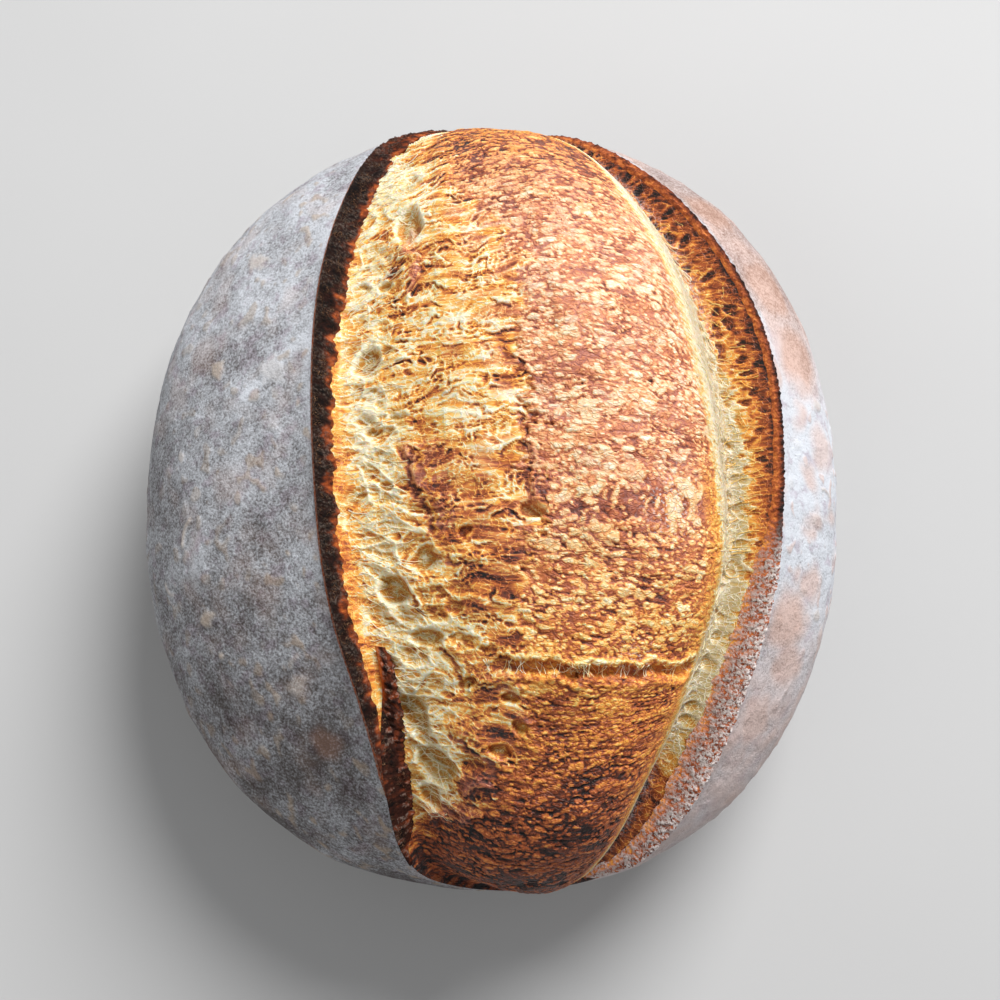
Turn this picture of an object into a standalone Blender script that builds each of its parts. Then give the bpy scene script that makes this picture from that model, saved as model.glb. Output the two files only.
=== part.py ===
"""A round sourdough loaf that has burst open along its top, as one solid.

The loaf lies with its length along Y and its width along X, and stands on Z = 0. Every place on it has two angles, in
degrees. The turn goes round the loaf's X axis: -90 is the back, 0 the top, 90 the front, 180 the underside, and 270 the
back again. The lean goes from -90, the left end of the loaf, to 90, the right end.

The slash opened into a burst between two lips of crust. Its risen part swells from the left lip to a rim, and a valley
runs between that rim and the right lip. The lips and the rim each have their own lean for each turn.
"""

import math

import bpy
import numpy as np

# The baked loaf, in metres
WIDTH = 0.220
LENGTH = 0.246
BELT_HEIGHT = 0.044  # where the loaf is widest
CROWN_RISE = 0.060  # from the belt to the top of the crust's own curve
BELLY_DROP = 0.056  # from the belt to the bottom of that curve, before the loaf sits flat
BASE_ROUNDING = 0.008  # how gently the side turns into the flat base
SQUARENESS = 2.16  # of its outline from above, where 2 is an ellipse

# The lips and the rim, as (turn, lean)
LEFT_LIP = ((-90, -4), (-82, -11.5), (-72, -17), (-52, -22.4), (-30, -26), (-8, -26.6), (10, -25), (22, -22.4),
            (34, -18.2), (44, -15.6), (62, -12.8), (71, -9.8), (78, -3.5), (88, 6), (180, 2), (270, -4))
RIM = ((-90, 2), (-76, 8), (-60, 15), (-44, 21.6), (-26, 28.4), (-6, 33.2), (12, 35.4), (22, 33.6), (36, 28),
       (52, 21.2), (68, 16), (80, 13), (88, 10), (180, 6), (270, 2))
RIGHT_LIP = ((-90, 8), (-80, 13.5), (-66, 21), (-52, 32.8), (-38, 42.4), (-22, 48.2), (-4, 50.1), (12, 48.8),
             (26, 45.2), (44, 38.2), (60, 31), (74, 23.6), (88, 14), (180, 10), (270, 8))
BACK_END = (-86, -18)  # turns between which the burst grows to its full height
FRONT_END = (46, 92)

# The burst's rise over the crust's curve, as (share of the way across, metres)
RISEN_PROFILE = ((0, 0.0042), (0.026, -0.0006), (0.05, -0.0034), (0.13, -0.0024), (0.26, 0.0024), (0.42, 0.0088),
                 (0.58, 0.0126), (0.74, 0.0138), (0.88, 0.0112), (0.96, 0.0078), (1, 0.0052))
VALLEY_PROFILE = ((0, 0.0052), (0.16, 0.0010), (0.38, -0.0058), (0.58, -0.0088), (0.70, -0.0080), (0.83, -0.0036),
                  (0.93, 0.0012), (1, 0.0036))
LEFT_SWELL = 0.011  # how far the crust's upturn reaches back from each lip
RIGHT_SWELL = 0.008

# The tear across the front of the risen part
TEAR_TURN = 26.9  # where it crosses the middle of the loaf
TEAR_HALF_WIDTH = 0.0021
TEAR_DEPTH = 0.0034
TEAR_SHARES = (0.42, 1.02)  # how far across the risen part it reaches

# The unevenness of the bake, as (height in metres, waves along, waves across, phase)
CRUST_WAVES = ((0.0010, 2, 3, 0.4), (0.0008, 3, 5, 2.1), (0.0005, 7, 4, 4.4))
BURST_WAVES = ((0.0008, 9, 7, 1.2), (0.0006, 15, 11, 3.6), (0.0005, 6, 19, 5.0))

# The mesh: how its columns divide each stretch, and its rows
LEFT_COLUMNS = 15
RIGHT_COLUMNS = 12
RISEN_SHARES = (0, 0.013, 0.03, 0.05, 0.085, 0.13, 0.19, 0.26, 0.34, 0.42, 0.5, 0.58, 0.66, 0.74, 0.82, 0.89, 0.95)
VALLEY_SHARES = (0, 0.06, 0.14, 0.24, 0.34, 0.45, 0.57, 0.69, 0.8, 0.89, 0.95)
TOP_ROWS = 56  # from the back, over the top, to the front
UNDER_ROWS = 16
TEAR_ROWS = 7
TEAR_REACH = 3.4  # degrees to each side of the tear that its own rows take
ROW_BEND = 26  # degrees to each side over which the other rows straighten again

CRUST_COLOUR = (0.46, 0.44, 0.44, 1)
CRUST_ROUGHNESS = 0.9


def smoothstep(value, low, high):
    """0 below low, 1 above high, and a smooth rise between."""
    share = np.clip((value - low) / (high - low), 0, 1)
    return share * share * (3 - 2 * share)


def curve_through(points, at):
    """A smooth curve through the points, whose slope at each one is that of the line between its two neighbours."""
    x, y = np.array(points, float).T
    before, after = np.maximum(np.arange(len(x)) - 1, 0), np.minimum(np.arange(len(x)) + 1, len(x) - 1)
    slope = (y[after] - y[before]) / (x[after] - x[before])
    i = np.clip(np.searchsorted(x, at, side="right") - 1, 0, len(x) - 2)
    step = x[i + 1] - x[i]
    s = np.clip((at - x[i]) / step, 0, 1)
    rest = 1 - s
    return (y[i] * (1 + 2 * s) * rest**2 + y[i + 1] * (3 - 2 * s) * s**2
            + step * s * rest * (slope[i] * rest - slope[i + 1] * s))


def edges(turn):
    """The leans of the left lip, the rim and the right lip at a turn."""
    return tuple(curve_through(edge, turn) for edge in (LEFT_LIP, RIM, RIGHT_LIP))


def opened(turn):
    """How fully the burst has opened at a turn: 0 past its ends and 1 along the top."""
    return smoothstep(turn, *BACK_END) * (1 - smoothstep(turn, *FRONT_END))


def waves(parts, turn, lean):
    """A sum of sine waves over the loaf, which leaves no two places quite alike and dies out at its two ends."""
    t, a = np.radians(turn), np.radians(lean)
    return np.cos(a) ** 2 * sum(height * np.sin(along * t + phase) * np.cos(across * a + 2 * phase)
                                for height, along, across, phase in parts)


def tear(turn, lean, share):
    """The groove of the tear, which runs straight across the loaf."""
    start, end = TEAR_SHARES
    forward = np.cos(np.radians(lean)) * np.sin(np.radians(turn)) - math.sin(math.radians(TEAR_TURN))
    reach = smoothstep(share, start, start + 0.1) * (1 - smoothstep(share, end - 0.06, end))
    return -TEAR_DEPTH * reach * np.exp(-((forward * LENGTH / 2 / TEAR_HALF_WIDTH) ** 2))


def rise_over_crust(turn, lean):
    """How far the surface stands above the crust's own curve, at arrays of turns and leans."""
    left, rim, right = edges(turn)
    risen = (lean - left) / (rim - left)
    valley = (lean - rim) / (right - rim)
    across = np.clip((lean - left) / (right - left), 0, 1)
    swell = curve_through(RISEN_PROFILE, np.clip(risen, 0, 1)) + tear(turn, lean, risen)
    dip = curve_through(VALLEY_PROFILE, np.clip(valley, 0, 1))
    burst = np.where(risen < 1, swell, dip) + waves(BURST_WAVES, turn, lean) * np.sin(math.pi * across)
    from_left = np.radians(np.maximum(left - lean, 0)) * WIDTH / 2
    from_right = np.radians(np.maximum(lean - right, 0)) * WIDTH / 2
    upturn = np.where(risen < 0, RISEN_PROFILE[0][1] * np.exp(-from_left / LEFT_SWELL),
                      VALLEY_PROFILE[-1][1] * np.exp(-from_right / RIGHT_SWELL))
    within = (risen >= 0) & (valley <= 1)
    return opened(turn) * np.where(within, burst, upturn) + waves(CRUST_WAVES, turn, lean)


def crust_curve(turn, lean):
    """(points, outward directions) on the plain round of the loaf, before it burst."""
    t, a = np.radians(turn), np.radians(lean)
    depth = np.where(np.cos(t) > 0, CROWN_RISE, BELLY_DROP)
    half = np.array([WIDTH / 2, LENGTH / 2])
    x, y, z = np.sin(a), -np.cos(a) * np.sin(t), np.cos(a) * np.cos(t)
    plan = (np.abs(x) ** SQUARENESS + np.abs(y) ** SQUARENESS) ** (2 / SQUARENESS)
    unit = np.stack([x, y, z], axis=-1) / np.sqrt(plan + z**2)[..., None]
    size = np.stack([np.full(depth.shape, half[0]), np.full(depth.shape, half[1]), depth], axis=-1)
    out = unit / size
    return unit * size + (0, 0, BELT_HEIGHT), out / np.linalg.norm(out, axis=-1, keepdims=True)


def settled(height):
    """Heights with everything below the table pressed flat onto it, and a rounded turn above."""
    bend = (height + BASE_ROUNDING) ** 2 / (4 * BASE_ROUNDING)
    return np.where(height > BASE_ROUNDING, height, np.where(height < -BASE_ROUNDING, 0, bend))


def loaf_points(turn, lean):
    """Points of the whole loaf's surface at arrays of turns and leans."""
    place, out = crust_curve(turn, lean)
    points = place + out * rise_over_crust(turn, lean)[..., None]
    points[..., 2] = settled(points[..., 2])
    return points


def column_leans(turn):
    """The leans of one row's points, from the left end of the loaf to the right, closest together at the lips."""
    left, rim, right = (float(edge) for edge in edges(turn))
    towards_lip = 1 - (1 - np.arange(1, LEFT_COLUMNS) / LEFT_COLUMNS) ** 1.4
    away_from_lip = (np.arange(RIGHT_COLUMNS) / RIGHT_COLUMNS) ** 1.4
    return np.concatenate([-90 + (left + 90) * towards_lip,
                           left + (rim - left) * np.array(RISEN_SHARES),
                           rim + (right - rim) * np.array(VALLEY_SHARES),
                           right + (90 - right) * away_from_lip])


def row_turns():
    """The turns of the mesh's rows once round the loaf, with closer ones through the tear."""
    over = np.linspace(-90, 90, TOP_ROWS)
    under = np.linspace(90, 270, UNDER_ROWS + 2)[1:-1]
    through = np.linspace(TEAR_TURN - TEAR_REACH, TEAR_TURN + TEAR_REACH, TEAR_ROWS)
    clear = over[np.abs(over - TEAR_TURN) > TEAR_REACH + 0.6]
    return np.concatenate([np.sort(np.concatenate([clear, through])), under])


def bent_rows(turns, leans):
    """The turn of every point, with the rows by the tear bent to run straight across the loaf as it does."""
    sine = math.sin(math.radians(TEAR_TURN)) / np.cos(np.radians(np.clip(leans, -40, 40)))
    bend = np.degrees(np.arcsin(sine)) - TEAR_TURN
    return turns + bend * (1 - smoothstep(np.abs(turns - TEAR_TURN), TEAR_REACH, TEAR_REACH + ROW_BEND))


def loaf_mesh():
    """The closed mesh: rings of points round the loaf's X axis, with a point at each end."""
    turns = row_turns()
    leans = np.stack([column_leans(turn) for turn in turns])
    rows, columns = leans.shape
    points = loaf_points(bent_rows(np.repeat(turns[:, None], columns, axis=1), leans), leans)
    index = np.arange(rows * columns).reshape(rows, columns)
    after = np.roll(index, -1, axis=0)
    quads = np.stack([index[:, :-1], after[:, :-1], after[:, 1:], index[:, 1:]], axis=-1).reshape(-1, 4)
    ends = loaf_points(np.array([0.0, 0.0]), np.array([-90.0, 90.0]))
    left_end, right_end = rows * columns, rows * columns + 1
    faces = quads.tolist()
    faces += [(left_end, b, a) for a, b in zip(index[:, 0].tolist(), after[:, 0].tolist())]
    faces += [(right_end, a, b) for a, b in zip(index[:, -1].tolist(), after[:, -1].tolist())]
    mesh = bpy.data.meshes.new("loaf")
    mesh.from_pydata(np.concatenate([points.reshape(-1, 3), ends]).tolist(), [], faces)
    mesh.validate()
    mesh.shade_smooth()
    mesh.set_sharp_from_angle(angle=math.radians(50))
    return mesh


def crust_material():
    """A floured brown crust, as one plain finish."""
    material = bpy.data.materials.new("floured_crust")
    material.use_nodes = True
    shader = material.node_tree.nodes["Principled BSDF"]
    shader.inputs["Base Color"].default_value = CRUST_COLOUR
    shader.inputs["Roughness"].default_value = CRUST_ROUGHNESS
    shader.inputs["Metallic"].default_value = 0
    return material


def main():
    for old in list(bpy.data.objects):
        bpy.data.objects.remove(old)
    loaf = bpy.data.objects.new("loaf", loaf_mesh())
    loaf.data.materials.append(crust_material())
    bpy.context.scene.collection.objects.link(loaf)


main()
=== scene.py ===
# A round sourdough loaf with a floured crust that burst open along its top.
# Lengths are in metres unless a name ends in Mm; turns and leans are in degrees, as explained under "the loaf's round".
import math

import bpy
import numpy as np
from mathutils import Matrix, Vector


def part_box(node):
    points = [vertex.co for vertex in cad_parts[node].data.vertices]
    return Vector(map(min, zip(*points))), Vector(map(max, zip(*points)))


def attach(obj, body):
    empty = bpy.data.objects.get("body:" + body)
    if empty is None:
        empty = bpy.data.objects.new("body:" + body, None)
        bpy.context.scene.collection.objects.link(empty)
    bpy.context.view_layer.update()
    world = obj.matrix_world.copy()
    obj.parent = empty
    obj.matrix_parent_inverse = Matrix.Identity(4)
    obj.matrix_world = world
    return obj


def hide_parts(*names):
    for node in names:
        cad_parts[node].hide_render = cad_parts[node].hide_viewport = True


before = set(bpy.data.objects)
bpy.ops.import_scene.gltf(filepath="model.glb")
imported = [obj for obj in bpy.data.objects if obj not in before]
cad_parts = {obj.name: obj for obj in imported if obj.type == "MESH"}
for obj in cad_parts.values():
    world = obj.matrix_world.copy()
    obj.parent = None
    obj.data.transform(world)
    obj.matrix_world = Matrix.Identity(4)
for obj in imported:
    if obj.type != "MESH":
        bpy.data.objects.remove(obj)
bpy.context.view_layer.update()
loafLow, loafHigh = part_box("loaf")
print("frame loaded")

# Numbers that shape the loaf
mm = 0.001
loafWidth = loafHigh.x - loafLow.x
loafLength = (loafHigh.y - loafLow.y) * 1.002
loafHeight = loafHigh.z - loafLow.z
rounding = {"belt": 0.377, "crown": 0.514, "belly": 0.480, "base": 0.0685, "squareness": 2.16}  # shares of the height

# The two lips of the burst and the rim of its risen part, as (turn, lean)
edgeLines = {
    "leftLip": ((-110, 2), (-98, 2), (-90, -4), (-82, -11.5), (-72, -17), (-52, -22.4), (-30, -26), (-8, -26.6),
                (10, -25), (22, -22.4), (34, -18.2), (44, -15.6), (62, -12.8), (71, -9.8), (78, -3.5), (88, 6),
                (97, 10), (110, 10), (250, 2)),
    "rim": ((-110, 2), (-98, 2), (-90, 3), (-76, 8), (-60, 15), (-44, 21.6), (-26, 28.4), (-6, 33.2), (12, 35.4),
            (22, 33.6), (36, 28), (52, 21.2), (68, 16), (80, 13), (88, 11), (97, 10), (110, 10), (250, 2)),
    "rightLip": ((-110, 2), (-98, 2), (-90, 8), (-80, 13.5), (-66, 21), (-52, 32.8), (-38, 42.4), (-22, 48.2),
                 (-4, 50.1), (12, 48.8), (26, 45.2), (44, 38.2), (60, 31), (74, 23.6), (88, 14), (97, 10), (110, 10),
                 (250, 2)),
}
burst = {"start": -98, "end": 97, "backEnd": (-86, -18), "frontEnd": (46, 92)}
risenProfile = ((0, 0.0042), (0.026, -0.0006), (0.05, -0.0034), (0.13, -0.0024), (0.26, 0.0024), (0.42, 0.0088),
                (0.58, 0.0126), (0.74, 0.0138), (0.88, 0.0112), (0.96, 0.0078), (1, 0.0052))
valleyProfile = ((0, 0.0052), (0.16, 0.0010), (0.38, -0.0058), (0.58, -0.0088), (0.70, -0.0080), (0.83, -0.0036),
                 (0.93, 0.0012), (1, 0.0036))
upturn = {"leftReach": 0.011, "rightReach": 0.008}
burstWaves = ((0.0008, 9, 7, 1.2), (0.0006, 15, 11, 3.6), (0.0005, 6, 19, 5.0))


# Small maths
def smoothStep(value, low, high):
    # 0 below low, 1 above high, 3s^2 - 2s^3 between
    share = np.clip((value - low) / (high - low), 0, 1)
    return share * share * (3 - 2 * share)


def mixed(first, second, share):
    # first where share is 0, second where it is 1
    return first + (second - first) * share


def bell(value, middle, halfWidth):
    # 1 at the middle, falling off as exp(-((value - middle) / halfWidth)^2)
    return np.exp(-(((value - middle) / halfWidth) ** 2))


def curveThrough(points, at):
    # cubic through the points; the slope at each is that of the line between its two neighbours
    x, y = np.array(points, float).T
    before, after = np.maximum(np.arange(len(x)) - 1, 0), np.minimum(np.arange(len(x)) + 1, len(x) - 1)
    slope = (y[after] - y[before]) / (x[after] - x[before])
    i = np.clip(np.searchsorted(x, at, side="right") - 1, 0, len(x) - 2)
    step = x[i + 1] - x[i]
    s = np.clip((at - x[i]) / step, 0, 1)
    rest = 1 - s
    return (y[i] * (1 + 2 * s) * rest**2 + y[i + 1] * (3 - 2 * s) * s**2
            + step * s * rest * (slope[i] * rest - slope[i + 1] * s))


def hashed(ix, iy, iz, seed):
    # an evenly spread number from 0 to 1 for each whole lattice point, always the same for the same point and seed
    n = (ix.astype(np.int64) * 374761393 + iy.astype(np.int64) * 668265263 + iz.astype(np.int64) * 1274126177
         + seed * 2246822519) & 0xFFFFFFFF
    n = ((n ^ (n >> 15)) * 2246822519) & 0xFFFFFFFF
    n = ((n ^ (n >> 13)) * 3266489917) & 0xFFFFFFFF
    return ((n ^ (n >> 16)) & 0xFFFFFF) / float(0xFFFFFF)


def ripple(x, y, z=0.0, seed=0):
    # gradient noise, about -1 to 1: each lattice corner has a random slope, blended with 6s^5 - 15s^4 + 10s^3
    x, y, z = np.broadcast_arrays(*(np.asarray(v, float) for v in (x, y, z)))
    ix, iy, iz = np.floor(x), np.floor(y), np.floor(z)
    fx, fy, fz = x - ix, y - iy, z - iz
    flat = not np.any(z)
    total = np.zeros(x.shape)
    for cx in (0, 1):
        wx = fadeOf(fx) if cx else 1 - fadeOf(fx)
        for cy in (0, 1):
            wy = fadeOf(fy) if cy else 1 - fadeOf(fy)
            for cz in ((0,) if flat else (0, 1)):
                wz = 1 if flat else (fadeOf(fz) if cz else 1 - fadeOf(fz))
                angle = hashed(ix + cx, iy + cy, iz + cz, seed) * 2 * math.pi
                rise = hashed(ix + cx, iy + cy, iz + cz, seed + 57) * 2 - 1
                out = np.sqrt(1 - rise**2) if not flat else 1
                slope = out * (np.cos(angle) * (fx - cx) + np.sin(angle) * (fy - cy)) + (0 if flat else rise * (fz - cz))
                total += wx * wy * wz * slope
    return total * 1.5


def fadeOf(s):
    return s * s * s * (s * (6 * s - 15) + 10)


def rippleSum(x, y, z=0.0, seed=0, octaves=3, fall=0.5):
    # several ripples, each twice as fine and fall times as high as the last
    total, height, size = 0.0, 1.0, 1.0
    for i in range(octaves):
        total = total + height * ripple(x * size, y * size, z * size if np.any(z) else 0.0, seed + 11 * i)
        height, size = height * fall, size * 2.03
    return total


def crease(x, y, seed=0):
    # 1 along the noise's zero lines and falling away on both sides: thin ridges that wander
    return 1 - np.minimum(np.abs(ripple(x, y, 0.0, seed)) * 2.2, 1)


def bubbles(x, y, seed=0, unevenness=0.9):
    # cells round scattered points: (distance to the nearest, to the second, its own random number, another)
    ix, iy = np.floor(x), np.floor(y)
    near, second = np.full(x.shape, 9.0), np.full(x.shape, 9.0)
    own, other = np.zeros(x.shape), np.zeros(x.shape)
    zero = np.zeros(x.shape)
    for cx in (-1, 0, 1):
        for cy in (-1, 0, 1):
            jx = ix + cx
            jy = iy + cy
            px = jx + 0.5 + (hashed(jx, jy, zero, seed) - 0.5) * unevenness
            py = jy + 0.5 + (hashed(jx, jy, zero, seed + 1) - 0.5) * unevenness
            away = np.hypot(x - px, y - py)
            closer = away < near
            second = np.where(closer, near, np.minimum(second, away))
            own = np.where(closer, hashed(jx, jy, zero, seed + 2), own)
            other = np.where(closer, hashed(jx, jy, zero, seed + 3), other)
            near = np.where(closer, away, near)
    return near, second, own, other


def blurred(values, rows, columns):
    # the mean over a window of rows by columns, from running sums, with the borders carried outward
    for axis, reach in ((0, rows), (1, columns)):
        wide = np.pad(values, [(reach + 1, reach) if i == axis else (0, 0) for i in range(2)], mode="edge")
        run = np.cumsum(wide, axis=axis)
        size = 2 * reach + 1
        upper, lower = [slice(None)] * 2, [slice(None)] * 2
        upper[axis], lower[axis] = slice(size, None), slice(0, -size)
        values = (run[tuple(upper)] - run[tuple(lower)]) / size
    return values


def flecks(x, y, seed, spread=0.5):
    # one oval in each cell with its own size, stretch and turn: (distance from its middle, 1 at its rim, and its own
    # random number); where ovals overlap, the nearest counts
    ix, iy = np.floor(x), np.floor(y)
    best, own = np.full(x.shape, 9.0), np.zeros(x.shape)
    zero = np.zeros(x.shape)
    for cx in (-1, 0, 1):
        for cy in (-1, 0, 1):
            jx, jy = ix + cx, iy + cy
            chance = [hashed(jx, jy, zero, seed + i) for i in range(5)]
            dx = x - jx - 0.5 - (chance[0] - 0.5) * 0.9
            dy = y - jy - 0.5 - (chance[1] - 0.5) * 0.9
            angle = (chance[2] - 0.5) * spread
            size = 0.30 + 0.30 * chance[3]
            u = (dx * np.cos(angle) + dy * np.sin(angle)) / size
            v = (dy * np.cos(angle) - dx * np.sin(angle)) / (size * (0.72 + 0.28 * chance[4]))
            away = np.hypot(u, v)
            closer = away < best
            best = np.where(closer, away, best)
            own = np.where(closer, chance[4], own)
    return best, own


def saw(value, seed):
    # layers that lap over each other: climbs from 0 to 1 and drops back within the last tenth
    share = value - np.floor(value)
    return np.where(share < 0.88, share / 0.88, (1 - share) / 0.12), share, hashed(np.floor(value), value * 0, value * 0, seed)


# The loaf's round
# The turn goes round the X axis: -90 back, 0 top, 90 front, 180 underside. The lean goes from -90 at the left end of
# the loaf to 90 at the right end.
def edgeLeans(turn):
    return tuple(curveThrough(edgeLines[name], turn) for name in ("leftLip", "rim", "rightLip"))


def crustCurve(turn, lean):
    # superellipse in plan, half ellipses above and below the belt; returns points and outward directions
    t, a = np.radians(turn), np.radians(lean)
    x, y, z = np.sin(a), -np.cos(a) * np.sin(t), np.cos(a) * np.cos(t)
    square = rounding["squareness"]
    plan = (np.abs(x) ** square + np.abs(y) ** square) ** (2 / square)
    unit = np.stack([x, y, z], axis=-1) / np.sqrt(plan + z**2)[..., None]
    depth = np.where(z > 0, rounding["crown"], rounding["belly"]) * loafHeight
    size = np.stack([np.full(depth.shape, loafWidth / 2), np.full(depth.shape, loafLength / 2), depth], axis=-1)
    out = unit / size
    return (unit * size + (0, 0, rounding["belt"] * loafHeight),
            out / np.linalg.norm(out, axis=-1, keepdims=True))


def settled(height):
    # below the table the loaf is pressed flat: 0 under -base, (h + base)^2 / 4 base between, h above base
    base = rounding["base"] * loafHeight
    return np.where(height > base, height, np.where(height < -base, 0, (height + base) ** 2 / (4 * base)))


def opened(turn):
    # 0 past the burst's two ends and 1 along the top
    return smoothStep(turn, *burst["backEnd"]) * (1 - smoothStep(turn, *burst["frontEnd"]))


def slowWaves(turn, lean):
    # the unevenness of the whole loaf: three products of a sine round it and a cosine across it
    t, a = np.radians(turn), np.radians(lean)
    parts = ((0.0010, 2, 3, 0.4), (0.0008, 3, 5, 2.1), (0.0005, 7, 4, 4.4))
    return np.cos(a) ** 2 * sum(h * np.sin(u * t + f) * np.cos(v * a + 2 * f) for h, u, v, f in parts)


def formRise(turn, lean):
    # the plain form's height over the crust's curve: between the lips the two profiles and slow waves, outside them an
    # upturn that dies away as exp(-distance / reach)
    left, rim, right = edgeLeans(turn)
    risen = (lean - left) / np.maximum(rim - left, 0.4)
    valley = (lean - rim) / np.maximum(right - rim, 0.4)
    across = np.clip((lean - left) / np.maximum(right - left, 0.8), 0, 1)
    t, a = np.radians(turn), np.radians(lean)
    rolling = np.cos(a) ** 2 * sum(h * np.sin(u * t + f) * np.cos(v * a + 2 * f) for h, u, v, f in burstWaves)
    between = np.where(risen < 1, curveThrough(risenProfile, np.clip(risen, 0, 1)),
                       curveThrough(valleyProfile, np.clip(valley, 0, 1))) + rolling * np.sin(math.pi * across)
    fromLeft = np.radians(np.maximum(left - lean, 0)) * loafWidth / 2
    fromRight = np.radians(np.maximum(lean - right, 0)) * loafWidth / 2
    outside = np.where(risen < 0, risenProfile[0][1] * np.exp(-fromLeft / upturn["leftReach"]),
                       valleyProfile[-1][1] * np.exp(-fromRight / upturn["rightReach"]))
    within = (lean >= left) & (lean <= right)
    return opened(turn) * np.where(within, between, outside) + slowWaves(turn, lean)


def placed(turn, lean, rise, slide=0.0):
    # the point over a turn and lean: the crust's curve, raised outward and slid along X, then settled on the table
    place, out = crustCurve(turn, lean)
    points = place + out * np.asarray(rise)[..., None]
    points[..., 0] += slide
    points[..., 2] = settled(points[..., 2])
    return points


def alongMm(turn):
    # millimetres round the loaf's middle from the top, which are closer together per degree there than at the belt
    fine = np.linspace(-120, 270, 1561)
    place, _ = crustCurve(fine, np.zeros(fine.shape))
    run = np.concatenate([[0], np.cumsum(np.linalg.norm(np.diff(place, axis=0), axis=1))]) / mm
    return np.interp(turn, fine, run) - np.interp(0.0, fine, run)


def turnsEvery(stepMm, start, end):
    # turns whose rows lie stepMm apart along the loaf's middle
    fine = np.linspace(start, end, 2001)
    run = alongMm(fine)
    count = int(round((run[-1] - run[0]) / stepMm))
    return np.interp(np.linspace(run[0], run[-1], count + 1), run, fine)


acrossPerDegree = math.radians(1) * 105  # millimetres across the top for each degree of lean


# The burst's surface
# Where, as a share of the way from the left lip to the rim, the torn crumb ends and the baked skin starts.
zones = {
    "crumbEnd": ((-98, 0.30), (-70, 0.30), (-45, 0.27), (-30, 0.20), (-12, 0.21), (0, 0.24), (12, 0.31), (24, 0.35),
                 (44, 0.34), (54, 0.25), (60, 0.02), (68, -0.30), (97, -0.3)),
    "skinStart": ((-98, 0.36), (-70, 0.38), (-50, 0.40), (-38, 0.48), (-28, 0.56), (-16, 0.55), (-2, 0.54), (8, 0.525), (20, 0.47),
                  (27, 0.48), (36, 0.49), (44, 0.40), (52, 0.34), (62, 0.08), (68, -0.2), (97, -0.2)),
}
# Open hollows in the torn crumb and the sheets, as (turn, lean, half width across, half width along, depth), in mm
caves = ((-16, -19.8, 5.0, 4.2, 4.0), (-38.0, -12.5, 4.6, 9.0, 3.8), (-27.8, -16.8, 3.4, 2.2, 2.0),
         (17.5, -14.2, 6.2, 5.4, 4.4), (13.0, -9.0, 4.6, 3.4, 2.6), (24, -9.2, 6.2, 3.6, 3.2), (35.5, -11.4, 5.6, 8.5, 4.6),
         (44, -7.8, 6.5, 7.0, 4.4), (50, -9.0, 4.0, 4.0, 3.2), (31.5, 2.0, 2.4, 2.2, 2.6), (35.0, 3.2, 2.4, 2.2, 2.4),
         (38.8, 1.2, 2.6, 2.6, 2.6), (7.0, 5.2, 3.6, 2.4, 3.0), (3.0, -15.5, 3.4, 2.4, 2.2), (-5.0, -19.0, 4.0, 2.0, 2.0),
         (29.0, -3.6, 2.8, 2.0, 2.2), (19.5, -4.5, 3.0, 1.8, 1.6), (9.5, -3.0, 2.4, 1.6, 1.6))
# Places more or less baked than their surroundings, as (turn, lean, half width across, half width along, bake), in mm
tints = ((-60, -10, 8, 8, 0.52), (-40, -12, 6, 12, 0.02), (-48, -5, 6, 12, 0.30), (-38, -17, 3.5, 6, 0.50), (-29.5, -14, 4, 6, 0.62),
         (-22, -14, 5, 7, 0.40), (-27, -21, 4, 5, 0.12), (-21, -22, 4, 6, 0.34), (-5, -20, 5, 12, 0.03), (-19, -7, 9, 5, 0.10),
         (-15, -7, 8, 2.5, 0.42), (-6, -4, 9, 5, 0.16), (-13, 3, 4, 9, 0.52), (-27, 0, 10, 11, 0.34), (-5, 2.5, 3, 3, 0.14),
         (-7.5, 4, 5, 3, 0.10), (4, -9, 5, 6, 0.55), (9, -4, 8, 6, 0.50), (8, -20.5, 4, 13, 0.16), (12, -14, 6, 9, 0.06),
         (12, -10.5, 5, 5, 0.32), (17, -9, 4, 5, 0.42), (8, 2, 6, 5, 0.38), (15, 2, 7, 5, 0.56), (18, -4, 8, 4, 0.50),
         (22, -18, 4, 6, 0.05), (27.5, -17, 3, 5, 0.22), (31, -18, 3, 9, 0.32), (22, -9, 8, 4, 0.10), (25, 0, 8, 3, 0.44), (36, -11, 6, 12, 0.07),
         (32, -2, 7, 4, 0.46), (40, 0, 6, 7, 0.50), (35.5, 5, 4, 4, 0.66), (46, -1.5, 7, 3.5, 0.66), (56, -6, 9, 4, 0.62))
# Torn sheets that stand over their surroundings: the free edge goes from the first (turn, lean) to the second with the
# sheet on its right when it comes forward; then the height and reach in mm, and how baked the sheet and its edge are
folds = ((-24.5, -11.6, -31, -11.4, 1.1, 6, 0.42, 0.80), (-30, -11.6, -37.5, -12.6, 1.2, 5, 0.48, 0.90),
         (-1.8, -12.0, 3.5, -9.4, 0.8, 7, 0.57, 0.66), (3.0, -9.6, 10.0, -8.0, 0.7, 7, 0.58, 0.40),
         (14.5, -13.0, 20.5, -8.8, 1.0, 7, 0.30, 0.10), (12.0, -7.5, 13.6, -1.0, 0.7, 5, 0.46, 0.20),
         (24.0, -6.5, 30.5, -3.0, 0.7, 6, 0.42, 0.12), (29.5, -1.6, 30.5, 4.5, 0.7, 5, 0.54, 0.16),
         (37.0, -5.0, 41.0, 1.0, 0.7, 5, 0.52, 0.16), (-4.5, 5.0, 6.0, 6.4, 0.8, 4, 0.64, 0.70),
         (55.0, -9.5, 50.0, -1.5, 0.9, 4, 0.62, 0.72), (47.0, -3.5, 44.2, 0.8, 0.9, 4, 0.66, 0.50),
         (37.2, 4.2, 34.0, 6.0, 0.9, 4, 0.66, 0.55))
tear = {"turn": 26.9, "halfWidth": 1.6, "depth": 2.6, "shares": (0.36, 1.02), "wander": 2.2}
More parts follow.
